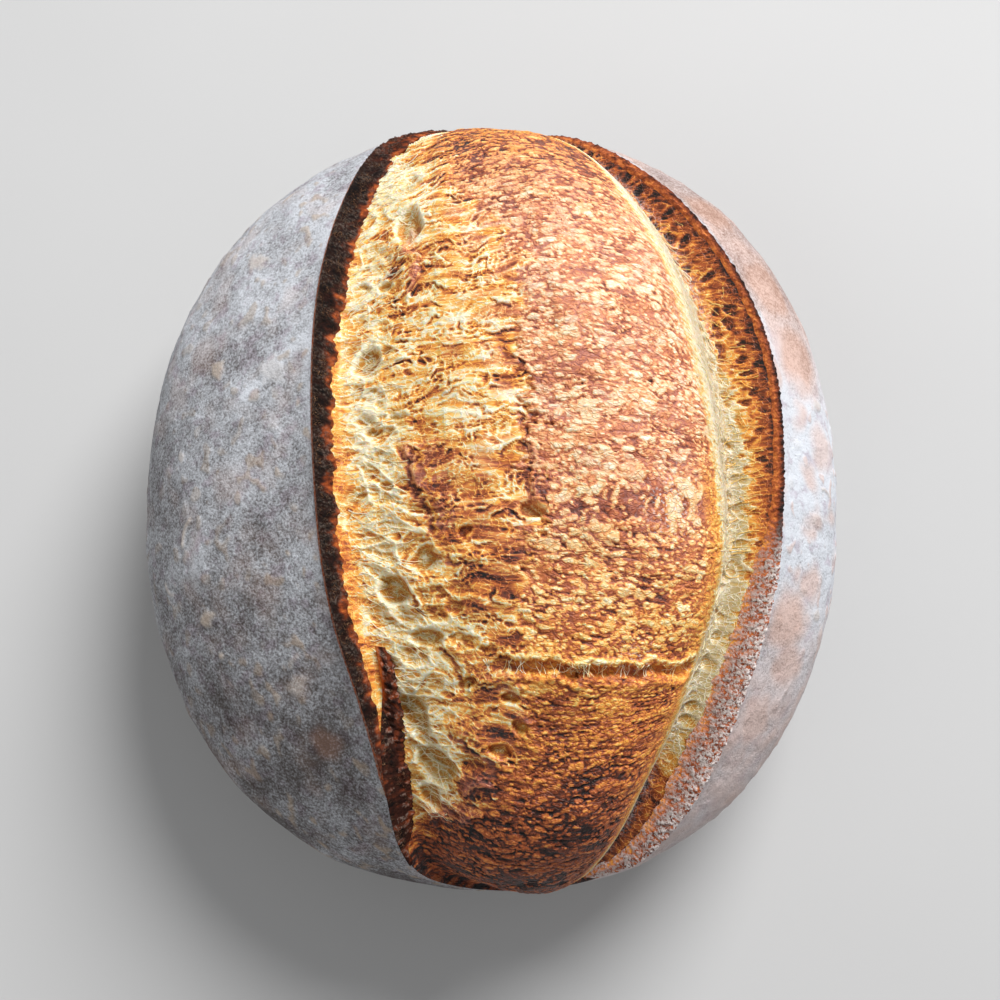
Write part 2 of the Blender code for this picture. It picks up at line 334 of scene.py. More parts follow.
step = {"height": 0.7, "overhang": 0.3, "from": -14, "to": 9}  # the skin's left edge, where it stands over the sheets


def crossLine(turn, lean):
    # millimetres forward of the tear, which runs straight across the loaf
    forward = np.cos(np.radians(lean)) * np.sin(np.radians(turn)) - math.sin(math.radians(tear["turn"]))
    return forward * loafLength / 2 / mm


def crumbZone(wp, wq, nearLeft):
    # torn crumb: smooth hollows stretched along X, with thin walls and strands; returns relief, bake and painted shade
    # in its bowls
    big, bigSecond, bigOwn, bigOther = bubbles(wp / 9.4, wq / 5.8, 20)
    mid, midSecond, midOwn, _ = bubbles(wp / 4.2, wq / 2.3, 24)
    fine, fineSecond, fineOwn, _ = bubbles(wp / 2.0, wq / 1.05, 28)
    fibre, fibreFine = crease(wp / 15, wq / 1.5, 32), crease(wp / 9, wq / 0.8, 34)
    bigBowl = smoothStep(0.62 - big, 0, 0.42) * (bigOwn > 0.40) * (0.45 + 0.55 * bigOther)
    midBowl = smoothStep(0.58 - mid, 0, 0.42) * (0.2 + 0.8 * midOwn) * (midOwn > 0.4)
    fineBowl = smoothStep(0.5 - fine, 0, 0.4) * fineOwn
    walls = np.maximum(bell(bigSecond - big, 0, 0.05), 0.6 * bell(midSecond - mid, 0, 0.06))
    strands = np.maximum(fibre**3, 0.7 * fibreFine**3)
    relief = -1.3 * bigBowl - 0.55 * midBowl - 0.14 * fineBowl + 0.24 * walls + 0.22 * strands
    warm = smoothStep(rippleSum(wp / 9, wq / 4, 0, 75, 2), 0.0, 0.8)
    lipWarm = nearLeft * (0.45 + 0.55 * smoothStep(rippleSum(wp / 5, wq / 8, 0, 76, 2), -0.5, 0.4))
    bake = 0.08 + 0.28 * warm + 0.34 * lipWarm - 0.12 * walls - 0.10 * strands + 0.14 * fineBowl * (1 - bigBowl)
    hollow = np.clip(0.72 * bigBowl + 0.34 * midBowl - 0.5 * walls - 0.35 * strands, 0, 1)
    return relief, bake, hollow


def sheetZone(p, q, wp, wq):
    # golden sheets: smooth swells, a few torn layers lapping forward with pale jagged edges, and clusters of little
    # bubbles with pale rims
    tatter = 0.14 * ripple(wp / 1.5, wq / 2.2, 0, 300) + 0.06 * ripple(wp / 0.6, wq / 1.2, 0, 301)
    flow = 1.1 * ripple(wp / 9, wq / 8, 0, 302) + 0.35 * ripple(wp / 3.6, wq / 5, 0, 303)
    layer, share, own = saw(wq / 4.6 + flow + tatter, 304)
    strong = smoothStep(ripple(wp / 6, wq / 4.5, 0, 308), -0.1, 0.45)
    cells, cellsSecond, cellsOwn, _ = bubbles(wp / 2.7, wq / 1.9, 310)
    cluster = smoothStep(rippleSum(wp / 9, wq / 8, 0, 309, 2), 0.05, 0.40)
    pocket = smoothStep(0.50 - cells, 0, 0.34) * (cellsOwn > 0.30) * cluster
    rim = bell(cellsSecond - cells, 0.04, 0.09) * cluster
    little, littleSecond, littleOwn, _ = bubbles(wp / 1.7, wq / 1.15, 330)
    crowd = smoothStep(rippleSum(wp / 8, wq / 6, 0, 332, 2), 0.10, 0.45)
    pocket = np.maximum(pocket, 0.6 * smoothStep(0.50 - little, 0, 0.34) * (littleOwn > 0.25) * crowd)
    rim = np.maximum(rim, 0.75 * bell(littleSecond - little, 0.03, 0.10) * crowd)
    fibre = crease(wp / 11, wq / 0.95, 312) ** 2
    streak = ripple(wp / 13, wq / 1.9, 0, 318)
    relief = (0.8 * strong * (layer - 0.5) - 0.32 * pocket + 0.14 * rim + 0.16 * fibre + 0.6 * ripple(p / 9, q / 6, 0, 314)
              + 0.16 * ripple(wp / 4, wq / 2.2, 0, 315))
    edge = bell(share, 0.86, 0.05) * strong
    # the gap at the foot of each layer, under the layer lapping over it, is browned as painted shade
    shadowGap = np.maximum(bell(share, 0.03, 0.05), bell(share, 0.99, 0.03)) * strong
    patch = rippleSum(wp / 9, wq / 4, 0, 316, 2)
    bake = 0.38 + 0.26 * patch + 0.22 * streak - 0.24 * edge + 0.22 * shadowGap - 0.16 * fibre - 0.22 * rim + 0.14 * pocket
    return relief, bake, np.zeros(p.shape)


def skinZone(p, q, turn):
    # baked skin: brick red and wrinkled, strewn with flat cream blisters of three sizes; further forward the wrinkles
    # climb to the right
    swing = np.radians(16) * smoothStep(q, 2, 26) * (1 - smoothStep(q, 60, 82)) - np.radians(7) * (1 - smoothStep(q, -55, -20))
    a = p + 1.3 * ripple(p / 7, q / 5, 0, 320) + 0.35 * ripple(p / 2.2, q / 1.5, 0, 321)
    b = q + 1.0 * ripple(p / 9, q / 5, 0, 322) + 0.28 * ripple(p / 2.0, q / 1.6, 0, 323)
    pr, qr = a * np.cos(swing) + b * np.sin(swing), b * np.cos(swing) - a * np.sin(swing)
    crowd = rippleSum(p / 15, q / 9, 0, 324, 2)
    lined, forward = smoothStep(q, 0, 30), smoothStep(q, 40, 75)
    cover, low, pale = np.zeros(p.shape), np.zeros(p.shape), np.zeros(p.shape)
    rings = np.zeros(p.shape)
    for size, flat, seed, part, height, light in ((4.7, 2.4, 330, 0.42, 0.24, 0.00), (2.7, 1.45, 336, 0.55, 0.17, 0.03),
                                                  (1.55, 0.92, 342, 0.62, 0.10, 0.07)):
        away, own = flecks(pr / size, qr / flat, seed)
        fewer = 0.30 * (size - 1.9) / 2.8 * forward
        chosen = smoothStep(part - fewer + 0.50 * crowd - (own * 7.3) % 1, -0.04, 0.04)
        spot = (1 - smoothStep(away, 0.66, 1.02)) * chosen
        low = np.maximum(low, height * np.sqrt(np.clip(1 - away**2, 0, 1)) * chosen)
        pale = np.where(spot > cover, 0.7 * light + 0.15 * ((own * 13.7) % 1), pale)
        cover = np.maximum(cover, spot)
        rings = np.maximum(rings, chosen * bell(away, 1.12, 0.12))
    wrinkle = crease(pr / 12, qr / 2.1, 350) ** 2 * smoothStep(ripple(p / 9, q / 6, 0, 351), -0.35, 0.3)
    wrinkle2 = crease(pr / 6, qr / 1.0, 352) ** 3
    pit = smoothStep(ripple(pr / 3.6, qr / 1.2, 0, 354), 0.70, 0.84)
    relief = (0.55 * ripple(p / 17, q / 13, 0, 355) + 0.30 * ripple(p / 6, q / 3.5, 0, 356) + 1.25 * low - 0.12 * rings
              - (0.38 + 0.22 * lined) * wrinkle * (1 - 0.4 * cover) - 0.16 * wrinkle2 - 0.6 * pit)
    ground = 0.475 + 0.12 * rippleSum(p / 14, q / 9, 0, 358, 2) + 0.05 * ripple(p / 1.3, q / 0.8, 0, 360)
    ground = ground + (0.13 + 0.07 * lined) * wrinkle + 0.07 * wrinkle2
    bake = mixed(ground, 0.03 + 0.07 * forward + pale, (0.94 - 0.14 * forward) * cover) + 0.35 * pit
    return relief, bake, 0.12 * cover


def valleyZone(p, q, wp, wq, valley, turn):
    # strands down the slope, bubbles at its foot and a porous amber wall up to the right lip
    foot, footSecond, footOwn, _ = bubbles(wp / 4.4, wq / 5.6, 60)
    pore, poreSecond, poreOwn, _ = bubbles(wp / 3.4, wq / 4.8, 64)
    mid, midSecond, midOwn, _ = bubbles(wp / 3.2, wq / 2.0, 68)
    front = smoothStep(turn, 4, 24)
    back = smoothStep(-turn, 2, 50)
    wallStart = 0.70 + 0.06 * front - 0.28 * back
    wall = smoothStep(valley + 0.05 * ripple(p / 3, q / 4, 0, 377), wallStart, wallStart + 0.13)
    slope = 1 - smoothStep(valley, 0.30, 0.54)
    floor = (1 - slope) * (1 - wall)
    shade = smoothStep(valley, 0.06, 0.34)
    lowEnd = smoothStep(turn, 36, 56)
    groove = bell(valley + 0.03 * ripple(p / 3, q / 5, 0, 378), 0.60, 0.13 + 0.14 * lowEnd) * (1 - 0.4 * front + 0.4 * lowEnd)
    footBowl = smoothStep(0.6 - foot, 0, 0.42) * smoothStep(footOwn, 0.25, 0.75)
    poreBowl = smoothStep(0.54 - pore, 0, 0.36) * (poreOwn > 0.55)
    midBowl = smoothStep(0.52 - mid, 0, 0.4) * midOwn
    strands = np.maximum(crease(wp / 13, wq / 1.1, 370) ** 2, 0.7 * crease(wp / 7, wq / 0.7, 371) ** 2)
    threads = crease(wp / 4.5, wq / 1.6, 372) ** 2
    fold = ripple(wp / 7, wq / 3.4, 0, 376)
    relief = (slope * (0.22 * strands - 0.20 * midBowl) + floor * (-1.15 * footBowl + 0.20 * bell(footSecond - foot, 0, 0.09)
              + 0.22 * threads + 0.12 * front * fold) - (1.3 + 1.2 * lowEnd) * groove + wall * (-0.9 * poreBowl + 0.16 * threads + 0.28 * ripple(p / 2.1, q / 1.7, 0, 66)))
    fine = ripple(p / 3.2, q / 1.6, 0, 374)
    ridge = 1 - smoothStep(valley + 0.04 * ripple(p / 2, q / 1.5, 0, 379), 0.02, 0.20)
    bake = slope * (0.03 + (0.14 + 0.14 * front) * ridge + 0.07 * fine + 0.10 * midBowl - 0.08 * strands) + floor * (0.03 + 0.05 * fine - 0.05 * threads)
    bake = bake + (0.18 + 0.62 * smoothStep(turn, 50, 62)) * lowEnd * groove + wall * (mixed(0.42 + 0.12 * back, 0.69 + 0.06 * back, smoothStep(valley, 0.76 - 0.2 * back, 0.92)) + 0.16 * fine + 0.04 * poreBowl - 0.16 * threads) + 0.34 * smoothStep(valley, 0.88, 0.98)
    bake = bake + 0.16 * smoothStep(-turn, 40, 60) * smoothStep(valley, 0.2, 0.5)
    # painted shade: the hollow value darkens the slope towards its foot, the floor, the pores, the groove and the front
    # end
    hollow = np.clip(slope * (0.30 + 0.62 * shade - 0.25 * strands) + floor * (0.84 + 0.40 * footBowl - 0.3 * threads)
                     + 0.25 * slope * midBowl + 0.55 * wall * poreBowl + 0.40 * groove + (0.25 * front + 0.3 * lowEnd) * (1 - wall) * shade, 0, 1)
    return relief, bake, hollow


def foldedSheets(wp, wq):
    # with d the distance into the sheet from its free edge: the rise is height exp(-(d / reach)^2) behind the edge and
    # nothing before it; returns the rise, how baked it is and where
    wavy = 1.2 * ripple(wp / 3.6, wq / 3, 0, 420) + 0.55 * ripple(wp / 1.2, wq / 1.1, 0, 421)
    rise, level, cover = np.zeros(wp.shape), np.zeros(wp.shape), np.zeros(wp.shape)
    for turn, lean, lastTurn, lastLean, height, reach, bake, edgeBake in folds:
        startP, startQ = lean * acrossPerDegree, alongMm(turn)
        alongP, alongQ = lastLean * acrossPerDegree - startP, alongMm(lastTurn) - startQ
        length = math.hypot(alongP, alongQ)
        share = ((wp - startP) * alongP + (wq - startQ) * alongQ) / length**2
        d = ((wp - startP) * alongQ - (wq - startQ) * alongP) / length + wavy + 1.2 * (2 * share - 1) ** 2
        within = smoothStep(share, -0.15, 0.15) * (1 - smoothStep(share, 0.85, 1.15))
        creases = crease((d + 3 * share) / 1.6, share * length / 6, 424) ** 2
        body = within * smoothStep(d, -0.6, 0.6) * np.exp(-((np.maximum(d, 0) / reach) ** 2))
        rise = rise + height * body - 0.15 * within * bell(d, -1.0, 0.9) + 0.35 * body * creases
        # the gap just before a sheet's free edge, under the sheet, is browned as painted shade
        edge, shadowGap = within * bell(d, 0.35, 0.6), within * bell(d, -1.0, 0.9)
        part = np.clip(np.maximum(np.maximum(1.2 * body, edge), 0.8 * shadowGap), 0, 1)
        own = bake + 0.10 * ripple(d / 2.5, share * length / 1.4, 0, 426) - 0.16 * creases * body
        own = mixed(mixed(own, edgeBake, edge), bake + 0.10, shadowGap)
        level, cover = mixed(level, own, np.where(part > 0.02, part / np.maximum(cover, part), 0)), np.maximum(cover, part)
    return rise, level, cover


def burstRelief(turn, lean):
    # everything about the burst at a turn and lean: the rise over the crust's curve and the slide along X in metres,
    # and how baked, floury and pink it is and how much painted shade its hollows get, from 0 to 1
    left, rim, right = edgeLeans(turn)
    wide = np.maximum(rim - left, 0.4)
    risen = (lean - left) / wide
    valley = (lean - rim) / np.maximum(right - rim, 0.4)
    p, q = lean * acrossPerDegree, alongMm(turn)
    wp = p + 2.4 * ripple(p / 15, q / 11, 0, 3) + 0.6 * ripple(p / 5, q / 4, 0, 4)
    wq = q + 2.0 * ripple(p / 13, q / 12, 0, 5) + 0.5 * ripple(p / 6, q / 3.6, 0, 6)
    jag = 0.05 * ripple(p / 12, q / 1.6, 0, 7) + 0.06 * ripple(0.3, q / 7, 0, 8)
    crumbEnd = curveThrough(zones["crumbEnd"], turn) + jag
    fray = 0.040 * ripple(p / 7, q / 6, 0, 9) + 0.030 * ripple(p / 3, q / 2.2, 0, 10) + 0.016 * ripple(p / 1.2, q / 0.9, 0, 11)
    skinStart = curveThrough(zones["skinStart"], turn) + 0.6 * jag + fray
    crumb = 1 - smoothStep(risen, crumbEnd - 0.05, crumbEnd + 0.05)
    skin = smoothStep(risen, skinStart - 0.022, skinStart + 0.022)
    sheets = np.clip(1 - crumb - skin, 0, 1)
    inValley = smoothStep(risen + 0.014 * ripple(p / 2.2, q / 1.8, 0, 18) + 0.012 * ripple(p / 5, q / 5, 0, 19), 0.975, 1.015)
    nearLeft = 1 - smoothStep(risen + 0.02 * ripple(p / 4, q / 5, 0, 17), 0.02, 0.13)

    # forms: the tear across and the skin's stepped edge
    forward = crossLine(turn, lean) + tear["wander"] * ripple(p / 7, 0.2, 0, 12) + 0.6 * ripple(p / 1.6, 0.7, 0, 13) + 0.3 * ripple(p / 0.7, 0.7, 0, 14)
    tearReach = smoothStep(risen, tear["shares"][0], tear["shares"][0] + 0.12) * (1 - smoothStep(risen, 0.97, 1.02))
    tearWide = tear["halfWidth"] * np.clip(0.9 + 0.7 * ripple(p / 7, 0.9, 0, 15) + 0.3 * ripple(p / 2.5, 0.4, 0, 16), 0.25, 1.6)
    tearHole = tearReach * (1 - smoothStep(np.abs(forward), 0.6 * tearWide, 1.15 * tearWide))
    tearLip = tearReach * (bell(forward, -2.7, 0.7) + 0.8 * bell(forward, 3.0, 0.8))
    stepReach = smoothStep(turn, step["from"] - 6, step["from"] + 2) * (1 - smoothStep(turn, step["to"] - 2, step["to"] + 5))
    edgeAt = (risen - skinStart) * wide * acrossPerDegree
    ledge = stepReach * (smoothStep(edgeAt, -0.4, 0.4) * np.exp(-np.maximum(edgeAt, 0) / 9) * step["height"]
                         - 0.20 * bell(edgeAt, -1.4, 1.3))

    parts = (crumbZone(wp, wq, nearLeft), sheetZone(p, q, wp, wq), skinZone(p, q, turn))
    relief, bake, hollow = (sum(share * part[i] for share, part in zip((crumb, sheets, skin), parts)) for i in range(3))
    side = valleyZone(p, q, wp, wq, valley, turn)
    caveDepth = np.zeros(turn.shape)
    for caveTurn, caveLean, halfAcross, halfAlong, depth in caves:
        away = np.hypot((wp - caveLean * acrossPerDegree) / halfAcross, (wq - alongMm(caveTurn)) / halfAlong)
        caveDepth = np.maximum(caveDepth, depth * (1 - smoothStep(away, 0.45, 1.04)))
    hole = np.clip(caveDepth / 2.6, 0, 1)

    foldRise, foldBake, foldCover = foldedSheets(wp, wq)
    open_ = (1 - skin) * (1 - inValley)

    # how baked it is, from pale to burnt
    fineSpots = ripple(p / 3.5, q / 1.7, 0, 73)
    ragged = 1 + 0.35 * ripple(wp / 3.4, wq / 2.0, 0, 90) + 0.20 * ripple(wp / 1.4, wq / 1.0, 0, 91)
    offset, weight = np.zeros(turn.shape), np.full(turn.shape, 0.25)
    for tintTurn, tintLean, halfAcross, halfAlong, level in tints:
        away = np.hypot((wp - tintLean * acrossPerDegree) / halfAcross, (wq - alongMm(tintTurn)) / halfAlong)
        near = np.exp(-((away * ragged) ** 2) * 1.1)
        offset, weight = offset + near * level, weight + near
    pull = 0.85 * (1 - skin) * (1 - inValley) * smoothStep(weight, 0.3, 0.9)
    texture = 1.15 * (bake - blurred(bake, 12, 14))
    bake = mixed(bake, offset / (weight - 0.25 + 1e-6) + texture, pull)
    bake = mixed(bake, foldBake + 0.5 * texture, 0.85 * foldCover * open_)
    ends = 0.25 * smoothStep(-turn, 26, 62) + 0.06 * smoothStep(turn, -10, 12) + 0.26 * smoothStep(turn, 26, 60) + 0.10 * smoothStep(turn, 60, 85)
    bake = bake + ends * (skin + 0.6 * sheets) + (0.06 + 0.05 * smoothStep(turn, 20, 40)) * smoothStep(turn, -12, 8) * open_
    amberRim = skin * smoothStep(risen, 0.91, 0.97) * smoothStep(turn, -8, 8)
    bake = mixed(bake, 0.36 + 0.10 * fineSpots, 0.7 * amberRim)
    scorch = stepReach * bell(edgeAt + 1.4 * ripple(p / 3, q / 3, 0, 82), 0.5, 1.6) * smoothStep(ripple(0.1, q / 6, 0, 80), -0.2, 0.4)
    bake = bake + 0.26 * scorch
    bake = mixed(bake, 0.16 + 0.10 * fineSpots, 0.7 * tearLip * (forward < 0))
    bake = mixed(bake, 0.60 + 0.08 * fineSpots, 0.6 * tearLip * (forward > 0))
    bake = mixed(bake, 0.34 + 0.12 * fineSpots, 0.9 * tearHole)
    bake = mixed(bake, 0.10 + 0.06 * fineSpots, 0.8 * hole)
    bake, relief = mixed(bake, side[1], inValley), mixed(relief, side[0], inValley)
    # painted shade: the caves and the tear's hole darken through the hollow shade
    hollow = np.maximum(mixed(hollow, side[2], inValley), np.maximum(hole, 0.3 * tearHole))

    fade = smoothStep(turn, -97, -84) * (1 - smoothStep(turn, 88, 96.5))
    edgeFade = (0.3 * smoothStep(risen, 0, 0.03) + 0.7 * smoothStep(risen, 0.03, 0.12)) * (1 - smoothStep(valley, 0.80, 0.97))
    rise = formRise(turn, lean) / mm + fade * (edgeFade * relief * (1 - 0.7 * tearHole) - caveDepth * (1 - 0.25 * crumb)
                                         + foldRise * open_ + ledge - tear["depth"] * tearHole + 0.7 * tearLip)
    slide = -step["overhang"] * stepReach * skin * bell(edgeAt, 0.3, 1.1)
    patchy = smoothStep(rippleSum(wp / 8, wq / 6, 0, 92, 2), -0.25, 0.35)
    pinkReach = 0.85 * skin + 0.60 * (1 - skin) * smoothStep(risen, skinStart - 0.26, skinStart) * patchy
    pink = pinkReach * (1 - inValley) * (1 - amberRim) * (1 - smoothStep(turn, -6, 30)) * smoothStep(turn, -66, -36)
    pink = np.maximum(pink, 0.8 * foldCover * open_ * smoothStep(foldBake, 0.48, 0.58))
    dust = (1 - inValley) * np.maximum(bell(np.hypot((p - 46) / 9, (q - 14) / 13), 0, 0.8),
                                       0.7 * bell(np.hypot((p - 36) / 7, (q - 56) / 6), 0, 0.8))
    web = inValley * (1 - smoothStep(valley, 0.60, 0.76)) * smoothStep(valley, 0.04, 0.22)
    flour = np.maximum(dust * smoothStep(ripple(p / 0.9, q / 0.8, 0, 85), 0.0, 0.5), 0.32 * web)
    return {"rise": rise * mm, "slide": slide * mm, "bake": np.clip(bake, 0, 1), "hollow": np.clip(hollow, 0, 1),
            "flour": np.clip(flour, 0, 1), "pink": np.clip(pink, 0, 1), "skin": skin * (1 - inValley)}


# Making the pieces
def gridFaces(rows, columns, wraps):
    # quads between neighbouring rows and columns, seen from outside in the order that turns them outward
    index = np.arange(rows * columns).reshape(rows, columns)
    after = np.roll(index, -1, axis=0) if wraps else index[1:]
    index = index if wraps else index[:-1]
    return np.stack([index[:, :-1], after[:, :-1], after[:, 1:], index[:, 1:]], axis=-1).reshape(-1, 4)


def meshPiece(name, points, quads, triangles, values, material, gridMap, normals=None):
    # one object from whole arrays; values are point attributes, gridMap is a (u, v) for each point, and normals are
    # zero where the mesh works them out by itself
    mesh = bpy.data.meshes.new(name)
    quads, triangles = np.asarray(quads, np.int32), np.asarray(triangles, np.int32).reshape(-1, 3)
    loops = np.concatenate([quads.ravel(), triangles.ravel()])
    totals = np.concatenate([np.full(len(quads), 4), np.full(len(triangles), 3)]).astype(np.int32)
    mesh.vertices.add(len(points))
    mesh.vertices.foreach_set("co", np.asarray(points, np.float32).ravel())
    mesh.loops.add(len(loops))
    mesh.loops.foreach_set("vertex_index", loops.astype(np.int32))
    mesh.polygons.add(len(totals))
    mesh.polygons.foreach_set("loop_start", np.concatenate([[0], np.cumsum(totals)[:-1]]).astype(np.int32))
    mesh.polygons.foreach_set("loop_total", totals)
    mesh.polygons.foreach_set("use_smooth", np.ones(len(totals), bool))
    for key, value in values.items():
        layer = mesh.attributes.new(key, "FLOAT", "POINT")
        layer.data.foreach_set("value", np.asarray(value, np.float32).ravel())
    mesh.update()
    mesh.validate()
    mesh.set_sharp_from_angle(angle=math.radians(75))
    if gridMap is not None:
        uv = mesh.uv_layers.new(name="OFBake")
        uv.data.foreach_set("uv", np.asarray(gridMap, np.float32)[loops].ravel())
    if normals is not None:
        mesh.normals_split_custom_set_from_vertices(normals)
    mesh.materials.append(material)
    piece = bpy.data.objects.new(name, mesh)
    bpy.context.scene.collection.objects.link(piece)
    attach(piece, "root")
    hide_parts("loaf")
    return piece


def closedPatch(name, points, normals, values, material, heart, sink=0.006):
    # a patch of the surface closed behind: its border is carried inward by sink, then joined to a point in the loaf
    rows, columns = points.shape[:2]
    index = np.arange(rows * columns).reshape(rows, columns)
    border = np.concatenate([index[0, :-1], index[:-1, -1], index[-1, :0:-1], index[:0:-1, 0]])
    flat = points.reshape(-1, 3)
    middle = np.array([heart[0] * loafWidth, heart[1] * loafLength, heart[2] * loafHeight])
    inward = middle - flat[border]
    inner = flat[border] + inward / np.linalg.norm(inward, axis=1, keepdims=True) * sink
    start = len(flat)
    ring = np.arange(start, start + len(border))
    after = np.roll(ring, -1)
    skirt = np.stack([border, ring, after, np.roll(border, -1)], axis=-1)[:, ::-1]
    last = start + len(border)
    fan = np.stack([ring, np.full(len(ring), last), after], axis=-1)[:, ::-1]
    everything = np.concatenate([flat, inner, middle[None]])
    held = {key: np.concatenate([value.ravel(), value.ravel()[border], [0.3]]) for key, value in values.items()}
    u, v = np.meshgrid(np.linspace(0.02, 0.98, columns), np.linspace(0.02, 0.98, rows))
    grid = np.stack([u.ravel(), v.ravel()], axis=-1)
    grid = np.concatenate([grid, grid[border], [[0.5, 0.5]]])
    shading = np.zeros((rows, columns, 3))
    shading[:, (0, -1)] = normals[:, (0, -1)]
    shading = np.concatenate([shading.reshape(-1, 3), np.zeros((len(border) + 1, 3))])
    return meshPiece(name, everything, np.concatenate([gridFaces(rows, columns, False), skirt]), fan, held, material,
                     grid, shading)


def closedStrip(name, top, under, values, material):
    # a strip whose profile is closed: the columns of the top, then those of its underside going back; ends are fanned
    loop = np.concatenate([top, under[:, ::-1]], axis=1)
    rows, columns = loop.shape[:2]
    index = np.arange(rows * columns).reshape(rows, columns)
    wrapped = np.concatenate([index, index[:, :1]], axis=1)
    quads = np.stack([wrapped[:-1, :-1], wrapped[1:, :-1], wrapped[1:, 1:], wrapped[:-1, 1:]], axis=-1).reshape(-1, 4)
    ends = np.stack([loop[0].mean(axis=0), loop[-1].mean(axis=0)])
    first, last = rows * columns, rows * columns + 1
    firstFan = np.stack([wrapped[0, :-1], wrapped[0, 1:], np.full(columns, first)], axis=-1)
    lastFan = np.stack([wrapped[-1, 1:], wrapped[-1, :-1], np.full(columns, last)], axis=-1)
    back = under.shape[1]
    full = {}
    for key, value in values.items():
        value = np.concatenate([value, np.repeat(value[:, -1:], back, axis=1)], axis=1)
        full[key] = np.concatenate([value.ravel(), [value[0, 0], value[-1, 0]]])
    u, v = np.meshgrid(np.linspace(0.02, 0.98, columns), np.linspace(0.02, 0.98, rows))
    grid = np.concatenate([np.stack([u.ravel(), v.ravel()], axis=-1), [[0.5, 0.01], [0.5, 0.99]]])
    return meshPiece(name, np.concatenate([loop.reshape(-1, 3), ends]), quads, np.concatenate([firstFan, lastFan]), full,
                     material, grid)


def closedCap(name, points, pole, values, material, heart, sink=0.010, mirrored=False):
    # an end of the loaf: rings of points from a pole to an edge, and behind the edge a skirt and a fan
    rows, columns = points.shape[:2]
    index = np.arange(rows * columns).reshape(rows, columns)
    flat = points.reshape(-1, 3)
    edge = index[:, -1]
    middle = np.array([heart[0] * loafWidth, heart[1] * loafLength, heart[2] * loafHeight])
    inward = middle - flat[edge]
    inner = flat[edge] + inward / np.linalg.norm(inward, axis=1, keepdims=True) * sink
    start = len(flat)
    ring, poleIndex, heartIndex = np.arange(start, start + rows), start + rows, start + rows + 1
    after = np.roll(ring, -1)
    quads = gridFaces(rows, columns, True)
    skirt = np.stack([edge, np.roll(edge, -1), after, ring], axis=-1)
    first = index[:, 0]
    poleFan = np.stack([np.full(rows, poleIndex), np.roll(first, -1), first], axis=-1)
    heartFan = np.stack([ring, after, np.full(rows, heartIndex)], axis=-1)
    if mirrored:
        quads, skirt, poleFan, heartFan = (part[:, ::-1] for part in (quads, skirt, poleFan, heartFan))
    everything = np.concatenate([flat, inner, pole[None], middle[None]])
    held = {key: np.concatenate([value.ravel(), value.ravel()[edge], [value.ravel()[0]], [0.3]])
            for key, value in values.items()}
    return meshPiece(name, everything, np.concatenate([quads, skirt]), np.concatenate([poleFan, heartFan]), held,
                     material, None)


# Making the materials
class Wire:
    # a shader value: sums, products and powers of it add Math nodes to its material
    def __init__(self, tree, socket):
        self.tree, self.socket = tree, socket

    def maths(self, operation, *values):
        return addNode(self.tree, "ShaderNodeMath", {"operation": operation}, dict(enumerate(values)))

    def __add__(self, other):
        return self.maths("ADD", self, other)

    def __sub__(self, other):
        return self.maths("SUBTRACT", self, other)

    def __rsub__(self, other):
        return self.maths("SUBTRACT", other, self)

    def __mul__(self, other):
        return self.maths("MULTIPLY", self, other)

    def __truediv__(self, other):
        return self.maths("DIVIDE", self, other)

    def __pow__(self, other):
        return self.maths("POWER", self, other)

    __radd__, __rmul__ = __add__, __mul__

    def clipped(self):
        return addNode(self.tree, "ShaderNodeClamp", {}, {0: self})

    def between(self, low, high):
        # 0 at low, 1 at high, smooth between
        return addNode(self.tree, "ShaderNodeMapRange", {"interpolation_type": "SMOOTHSTEP"}, {0: self, 1: low, 2: high})


def addNode(tree, kind, settings, inputs, output=0):
    # any node: its settings first, then a value or a link for each socket
    node = tree.nodes.new(kind)
    for key, value in settings.items():
        if key == "stops":
            ramp = node.color_ramp
            for place, colour in value[2:]:
                ramp.elements.new(place)
            for element, (place, colour) in zip(ramp.elements, sorted(value)):
                element.position = place
                element.color = (*colour, 1)
        else:
            setattr(node, key, value)
    for key, value in inputs.items():
        if isinstance(value, Wire):
            tree.links.new(value.socket, node.inputs[key])
        else:
            node.inputs[key].default_value = value
    return Wire(tree, node.outputs[output])


def startMaterial(name):
    # an empty material with a principled shader: returns the material, its tree and a way to set the shader's sockets
    material = bpy.data.materials.new(name)
    material.use_nodes = True
    tree = material.node_tree
    shader = tree.nodes["Principled BSDF"]

    def finish(**sockets):
        for key, value in sockets.items():
            socket = shader.inputs[key.replace("_", " ")]
            if isinstance(value, Wire):
                tree.links.new(value.socket, socket)
            else:
                socket.default_value = value
        return material
    return material, tree, finish


def held(tree, name):
    # a point attribute of the piece
    return addNode(tree, "ShaderNodeAttribute", {"attribute_type": "GEOMETRY", "attribute_name": name}, {}, "Fac")


def noise(tree, scale, detail=3.0, roughness=0.55, stretch=(1, 1, 1)):
    # noise on the object's own coordinates, stretched by a scale for each axis
    place = addNode(tree, "ShaderNodeTexCoord", {}, {}, "Object")
    place = addNode(tree, "ShaderNodeVectorMath", {"operation": "MULTIPLY"}, {0: place, 1: stretch})
    return addNode(tree, "ShaderNodeTexNoise", {}, {"Vector": place, "Scale": scale, "Detail": detail,
                                                  "Roughness": roughness}, "Fac")


def blend(tree, first, second, share, kind="MIX"):
    # a colour mix; first and second are colours or wires
    colours = [value if isinstance(value, Wire) else (*value, 1) for value in (first, second)]
    return addNode(tree, "ShaderNodeMix", {"data_type": "RGBA", "blend_type": kind},
                   {0: share, 6: colours[0], 7: colours[1]}, 2)


def ramp(tree, share, stops):
    return addNode(tree, "ShaderNodeValToRGB", {"stops": stops}, {0: share})


def bumped(tree, height, distance, strength=1.0):
    return addNode(tree, "ShaderNodeBump", {}, {"Height": height, "Distance": distance, "Strength": strength}, "Normal")


